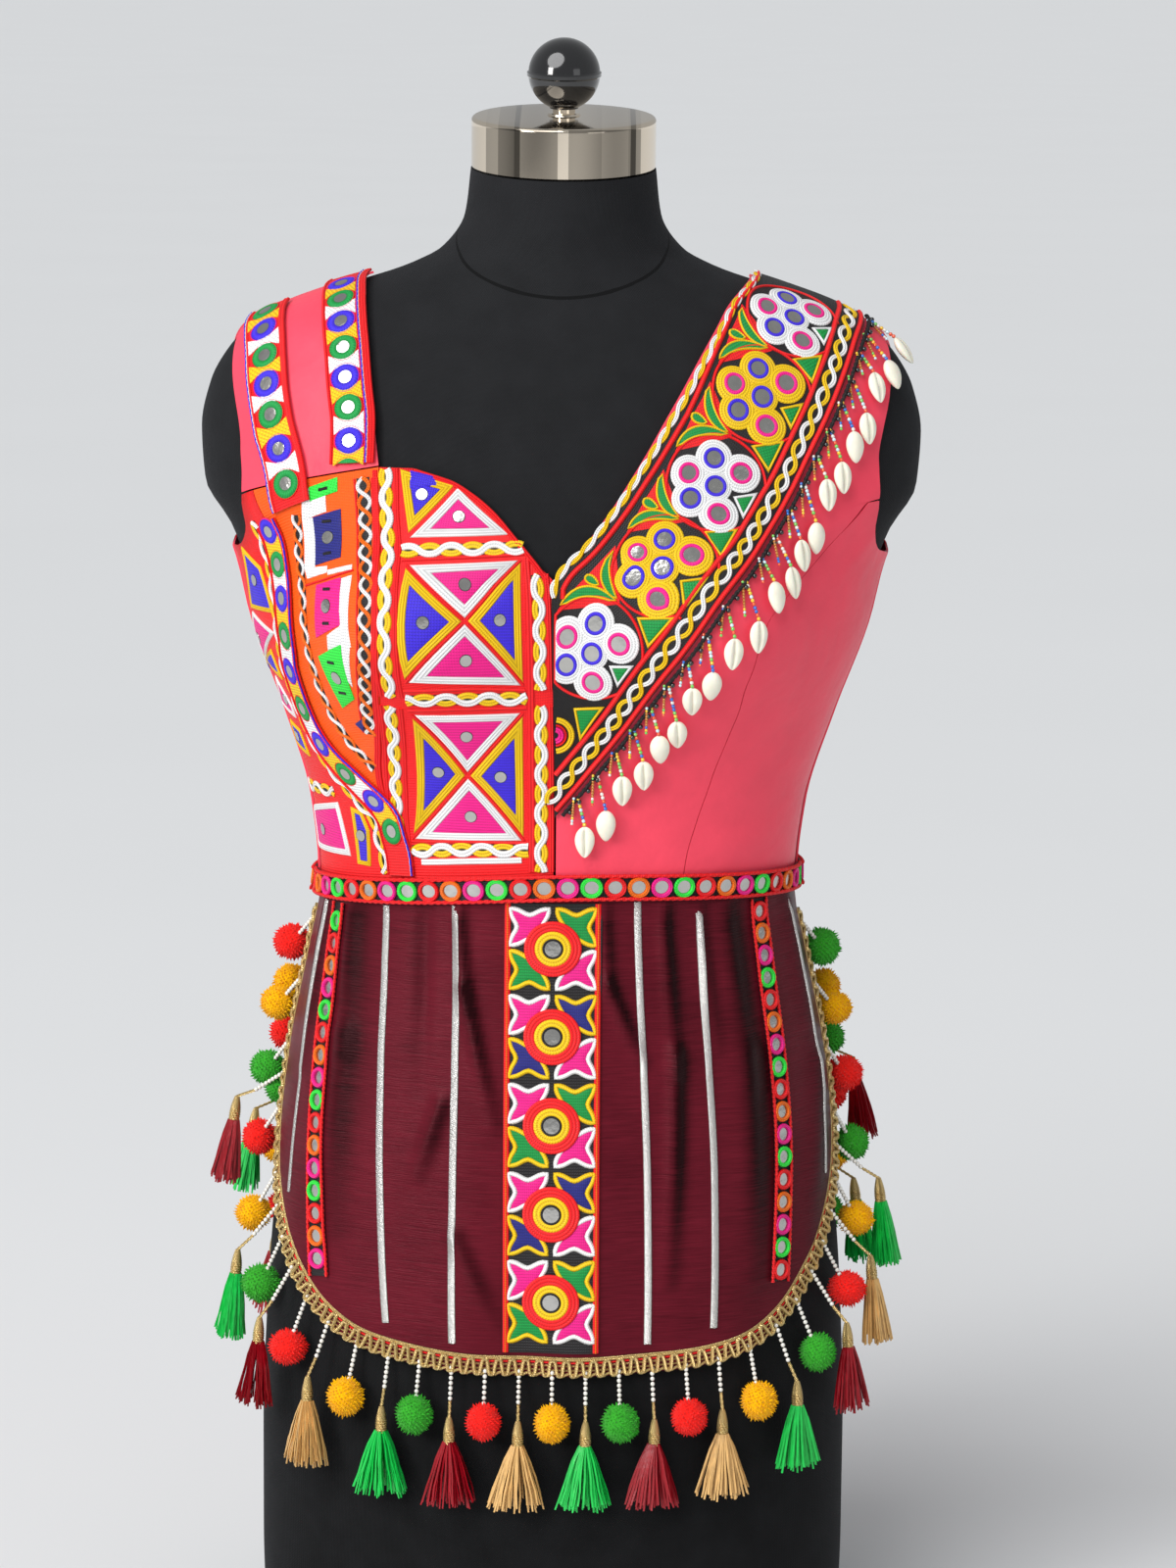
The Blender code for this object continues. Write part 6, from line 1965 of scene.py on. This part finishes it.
# %% Where the pendants hang
PITCH, FIRST_DROP = 17.2, 6.0                  # along the hem: between pendants, and at either end
POM_STRING, POM_RADIUS, POM_STAND = 12.0, 10.5, 12.0
TASSEL_CORD, TASSEL_HEAD, HEAD_LONG, HEAD_RADIUS = 25.0, 10.0, 14.0, 3.036
SKIRT_LONG, SKIRT_FLARE, SKIRT_DEEP, SKIRT_TOP = 37.0, 15.6, 8.5, 2.9
TASSEL_STAND, TASSEL_OVER, FAN = 10.0, 17.0, math.radians(31)
STEEP, TASSELS_BELOW = 0.86, 350.0             # where the edge is too steep or high for a tassel
PEARL_RADIUS, PEARL_SHARE, CROWN = 1.25, 0.62, 3.0
POM_COLOURS, TASSEL_COLOURS = tuple(WOOL), tuple(FLOSS)


def edge_frame(edge, at):
    """Along an edge: place, directions outward over the skin and downward, and steepness."""
    travelled = path_length(on_skin(edge))
    spots, ahead, behind = (np.stack([smooth(travelled, edge[:, k])(at + d) for k in (0, 1)], -1)
                            for d in (0, 2, -2))
    travel = unit(on_skin(ahead) - on_skin(behind))
    normal = outward(spots)
    beyond = unit(np.cross(travel, normal))
    down = unit(np.array([0, 0, -1.0]) - normal * -normal[:, 2:])
    return spots, beyond, down, np.abs(np.sum(travel * down, -1))


class Bits:
    """A small shape made once and copied many times: its points and its triangles."""

    def __init__(self, points, faces):
        self.points, self.faces = np.asarray(points, float), np.asarray(faces, int)

    def place_in(self, pile, centres, frames, sizes):
        """Copies at the centres; each frame holds the three axes of a copy as rows."""
        sizes = np.broadcast_to(np.asarray(sizes, float), len(centres))[:, None, None]
        points = np.einsum("pk,nkj->npj", self.points, frames) * sizes + centres[:, None]
        count = len(self.points)
        faces = self.faces[None] + np.arange(len(centres))[:, None, None] * count
        pile.add(points, np.zeros(2), [], faces)


def ball(rings, sides):
    """A ball from triangles: rows of points by latitude, joined to a pole at either end."""
    latitude = (np.linspace(-90, 90, rings + 2)[1:-1] * math.pi / 180)[:, None]
    turn = full_turn(sides)
    grid = together(np.cos(latitude) * np.cos(turn), np.cos(latitude) * np.sin(turn), np.sin(latitude))
    points = np.concatenate([grid.reshape(-1, 3), [[0, 0, -1], [0, 0, 1]]])
    index = np.arange(rings * sides).reshape(rings, sides)
    after = np.roll(index, -1, 1)
    faces = np.concatenate([
        np.stack([index[:-1], after[:-1], after[1:]], -1).reshape(-1, 3),
        np.stack([index[:-1], after[1:], index[1:]], -1).reshape(-1, 3),
        np.stack([np.full(sides, rings * sides), after[0], index[0]], -1),
        np.stack([np.full(sides, rings * sides + 1), index[-1], after[-1]], -1)])
    return Bits(points, faces)


BEAD = ball(4, 8)
random = np.random.default_rng(8)


def frames_along(axis):
    """Three axes for each direction: two square to it, and the direction itself."""
    axis = unit(np.atleast_2d(axis))
    aside = unit(np.cross(axis, np.where(np.abs(axis[:, :1]) < 0.8, [1.0, 0, 0], [0, 1.0, 0])))
    return np.stack([aside, np.cross(axis, aside), axis], 1)


def pearls(pile, start, end):
    """Beads that touch one another from the start to the end."""
    count = max(1, int(np.linalg.norm(end - start) / (2 * PEARL_RADIUS)))
    share = (np.arange(count) + 0.5)[:, None] / count
    BEAD.place_in(pile, start + (end - start) * share, np.tile(np.eye(3), (count, 1, 1)), PEARL_RADIUS)


TUFTS, TUFT_LEAN, TUFT_LEAST, TUFT_MOST = 340, 0.22, 1.1, 2.0
TUFT = Bits([(0.55, 0, -0.6), (-0.27, 0.48, -0.6), (-0.27, -0.48, -0.6), (0, 0, 1.0)],
            [(0, 1, 3), (1, 2, 3), (2, 0, 3), (0, 2, 1)])
CORE = ball(9, 16)


def pompom(pile, centre, radius):
    """Tufts spread by the golden angle: equal steps in height, and a fixed turn between them."""
    k = np.arange(TUFTS) + 0.5
    height = 1 - 2 * k / TUFTS
    turn = k * math.pi * (3 - math.sqrt(5)) + random.uniform(0, 6)
    flat = np.sqrt(1 - height ** 2)
    axis = np.stack([flat * np.cos(turn), flat * np.sin(turn), height], -1)
    lean = unit(axis + random.normal(0, TUFT_LEAN, axis.shape))
    shape = random.uniform(0.9, 1.04, 3)
    reach = radius * random.uniform(0.84, 0.95, (TUFTS, 1))
    TUFT.place_in(pile, centre + axis * reach * shape, frames_along(lean),
                  random.uniform(TUFT_LEAST, TUFT_MOST, TUFTS))
    CORE.place_in(pile, centre[None], np.diag(shape)[None], radius * 0.9)


STRANDS, STRAND_STEPS, STRAND_THICK, STRAND_THINS = 84, 5, 0.78, 0.22


def skirt(pile, top, down, lateral, out, flare):
    """Strands from a small circle under the head to a wide ellipse: each is a three-sided tube
    whose path spreads most just under the head, and ends where chance puts it."""
    turn = random.uniform(0, math.tau, STRANDS)[:, None]
    spread = np.sqrt(random.uniform(0.12, 1.0, STRANDS))[:, None]
    share = np.linspace(0, 1, STRAND_STEPS)[None]
    long = (SKIRT_LONG * random.uniform(0.86, 1.0, STRANDS) * (1 - 0.05 * spread[:, 0]))[:, None]
    wide, deep = (spread * (SKIRT_TOP + (reach - SKIRT_TOP) * share ** 0.8)
                  for reach in (flare, SKIRT_DEEP))
    wobble = 0.5 * share * np.sin(share * 7 + random.uniform(0, 6, STRANDS)[:, None])
    across = wide * np.cos(turn) + wobble
    forward = deep * np.sin(turn) + wobble * 0.6
    paths = (top + (share * long)[..., None] * down + across[..., None] * lateral
             + forward[..., None] * out)
    corner = full_turn(3)
    thick = (STRAND_THICK - STRAND_THINS * share)[..., None, None]
    rings = paths[:, :, None] + thick * (np.cos(corner)[:, None] * lateral
                                         + np.sin(corner)[:, None] * out)
    index = np.arange(STRANDS * STRAND_STEPS * 3).reshape(STRANDS, STRAND_STEPS, 3)
    pile.add(rings, np.zeros(2), walls(index), np.concatenate([index[:, 0], index[:, -1, ::-1]]))


def wound_head(pile, top, down, lateral, out):
    """The head of a tassel: a bud shape with a fine ridge for each turn of the gold thread."""
    share = np.linspace(0, 1, 22)[:, None]
    bud = HEAD_RADIUS * (0.34 + 0.66 * np.sin(math.pi * (0.04 + 0.62 * share)) ** 0.9)
    bud = bud + 0.22 * np.sin(share * 22 * 2.9)
    turn = -full_turn(12)
    rings = (top + share[..., None] * HEAD_LONG * down
             + bud[..., None] * (np.cos(turn)[:, None] * lateral + np.sin(turn)[:, None] * out))
    uv = together(share * HEAD_LONG, turn[None] * HEAD_RADIUS)
    pile.tube(rings[::-1], uv)


def hang_pendants(name, table):
    """The pompoms and tassels of one flap, on the same spots as its solids."""
    edge = hem_edge(table)
    half = path_length(on_skin(edge))[-1] / 2
    count = int((half - FIRST_DROP) / PITCH)
    numbers = np.arange(-count, count + 1)
    piles = defaultdict(Pile)
    for k, spot, out, drop, slope in zip(numbers, *edge_frame(edge, half + numbers * PITCH)):
        lean = FAN * slope
        direction = math.cos(lean) * drop + math.sin(lean) * out
        fixed, leave = moved(spot, out * GIMP_WIDE * 0.6), moved(spot, out * GIMP_WIDE)
        root = standing(fixed, flap_stand(fixed) + GIMP_THICK / 2)
        if k % 2 == 0:
            at = moved(leave, direction * (POM_STRING + POM_RADIUS))
            centre = standing(at, POM_STAND)
            pearls(piles["pearl"], root, centre - unit(centre - root) * POM_RADIUS * 0.8)
            pompom(piles[POM_COLOURS[k // 2 % 3]], centre, POM_RADIUS)
        elif slope < STEEP or (k % 4 == 1 and spot[1] < TASSELS_BELOW):
            at = moved(leave, direction * TASSEL_CORD)
            steep = slope ** 2
            head = standing(at, TASSEL_STAND + TASSEL_OVER * steep)
            lateral = unit(np.cross(drop, outward(at)))
            facing = np.cross(lateral, drop)
            knot, crown = root + (head - root) * PEARL_SHARE, head - drop * CROWN
            pearls(piles["pearl"], root, knot)
            cord = np.linspace(0, 1, 12)[:, None] * (crown - knot) + knot
            twisted(piles["gold"], cord, np.tile(outward(at), (12, 1)), 1.0, 2.6, 0.0)
            wound_head(piles["gold"], crown, drop, lateral, facing)
            skirt(piles[TASSEL_COLOURS[(k - 1) // 2 % 3] + "_silk"], head + drop * TASSEL_HEAD, drop,
                  lateral, facing, SKIRT_FLARE * (1 - 0.35 * steep))
    finishes = {"pearl": PEARL, "gold": GOLD, **WOOL, **{k + "_silk": v for k, v in FLOSS.items()}}
    for kind, made in piles.items():
        made.object(f"{name}_{kind}", finishes[kind], "gold_gimp", sharp=60)
    print(name, "pendants:", len(numbers))


hang_pendants("pendants_front", HEM_FRONT)
hang_pendants("pendants_back", HEM_BACK)
fringe()

# %% [markdown]
# ## Light, floor and camera
# A pale floor, a very soft sun from above and in front, and two soft lamps: the stronger one in
# front on the left, the weaker one in front on the right.

# %% The studio
FLOOR_RADIUS, FLOOR_SIDES = 160000, 96


def floor_disc():
    """Triangles from a wide circle to its middle, so far out that no edge shows."""
    turn = full_turn(FLOOR_SIDES)
    ring = np.stack([FLOOR_RADIUS * np.cos(turn), FLOOR_RADIUS * np.sin(turn), 0 * turn], -1)
    index = np.arange(FLOOR_SIDES)
    faces = np.stack([index, np.roll(index, -1), np.full(FLOOR_SIDES, FLOOR_SIDES)], -1)
    floor = build("floor", np.concatenate([ring, [[0, 0, 0]]]), [], faces)
    f = Finish("pale_floor", (0.78, 0.79, 0.80), 0.9)
    f.shade(f.noise(f.place(), 1.5, 3.0), 0.985, 1.015)
    floor.data.materials.append(f.material)
    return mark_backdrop(floor)


def lamp(name, place, aim, power, size, colour):
    light = bpy.data.lights.new(name, "AREA")
    light.energy, light.size, light.color = power, size, colour
    item = bpy.data.objects.new(name, light)
    item.location = place
    item.rotation_mode = "QUATERNION"
    toward = np.array(aim) - np.array(place)
    item.rotation_quaternion = Vector(toward).to_track_quat("-Z", "Y")
    bpy.context.scene.collection.objects.link(item)


floor_disc()
sun = bpy.data.lights.new("soft_sky", "SUN")
sun.energy, sun.angle = 2.35, math.radians(50)
above = bpy.data.objects.new("soft_sky", sun)
above.rotation_euler = (math.radians(36), math.radians(-32), 0)
bpy.context.scene.collection.objects.link(above)
lamp("key", (-2.3, -2.3, 1.5), (0, 0, 0.5), 38, 0.9, (1.0, 0.98, 0.96))
lamp("fill", (1.9, -2.2, 1.1), (0, 0, 0.5), 3, 1.1, (0.97, 0.98, 1.0))
world = bpy.data.worlds.new("studio")
bpy.context.scene.world = world
world.use_nodes = True
world.node_tree.nodes["Background"].inputs["Color"].default_value = (0.86, 0.88, 0.90, 1)
world.node_tree.nodes["Background"].inputs["Strength"].default_value = 0.42
bpy.context.scene.view_settings.view_transform = "Standard"

# %% The camera
TARGET = Vector((0.016, 0, 0.477))
ELEVATION, REACH, ROLL = math.radians(10), 2.6, math.radians(0.54)
PIXELS, FOCAL_PIXELS, SENSOR = 1600, 4981.0, 36.0
back = Vector((0, -math.cos(ELEVATION), math.sin(ELEVATION)))
level_up = back.cross(Vector((1, 0, 0)))
right = Vector((1, 0, 0)) * math.cos(ROLL) + level_up * math.sin(ROLL)
up = back.cross(right)
view = bpy.data.cameras.new("camera")
view.sensor_width, view.lens = SENSOR, SENSOR * FOCAL_PIXELS / PIXELS
view.clip_start, view.clip_end = 0.1, 400
camera = bpy.data.objects.new("camera", view)
camera.matrix_world = Matrix(((right.x, up.x, back.x), (right.y, up.y, back.y),
                              (right.z, up.z, back.z))).to_4x4()
camera.location = TARGET + back * (REACH / math.cos(ELEVATION))
bpy.context.scene.collection.objects.link(camera)
bpy.context.scene.camera = camera

# %% [markdown]
# ## What is cloth
# Each panel, ribbon and tape was a flat cut. Panels are draped on the form, flaps hang from the
# waist seam, and trims are laid on the panels, with their threads, beads and pendants on them.

# %% Printing the sheets
PANEL_THREADS = {"cup_centre_panel_right_shell": ["cup_threads"],
                 "cup_side_panel_right_shell": ["wedge_threads"],
                 "side_front_right_shell": ["side_front_threads"]}
SHEETS = (
    *((name, "draped", ["form_torso"], PANEL_THREADS.get(name, []))
      for name in CUTS_FLAT if name.endswith("_shell")),
    ("peplum_front_silk", "hung", ["waistband_front"], ["gota_braid"]),
    ("peplum_back_silk", "hung", ["waistband_back"], []),
    ("princess_ribbon_ribbon", "laid", ["cup_side_panel_right", "side_front_right"], ["princess_ribbon_"]),
    *((f"{side}_strap_ribbon_ribbon", "laid", ["shoulder_strap_right"], [f"{side}_strap_ribbon_"])
      for side in ("outer", "inner")),
    ("slanting_border_band", "laid", ["front_left"], ["border_", "cowrie_fringe_", "fringe_"]),
    *((f"waistband_{side}_ribbon", "laid", ["form_torso"], [f"waistband_{side}_"])
      for side in ("front", "back")),
    *((f"{name}_ribbon", "laid", ["peplum_front"], [name + "_"])
      for name in ("ring_ribbon_right", "ring_ribbon_left", "centre_strip")),
    *((f"hem_trim_{side}_tape", "laid", [f"peplum_{side}"], [f"hem_trim_{side}_", f"pendants_{side}_"])
      for side in ("front", "back")),
)
for row in SHEETS:
    declare_cloth(*row)
print("cloth not declared:", set(CUTS_FLAT) - {row[0] for row in SHEETS})
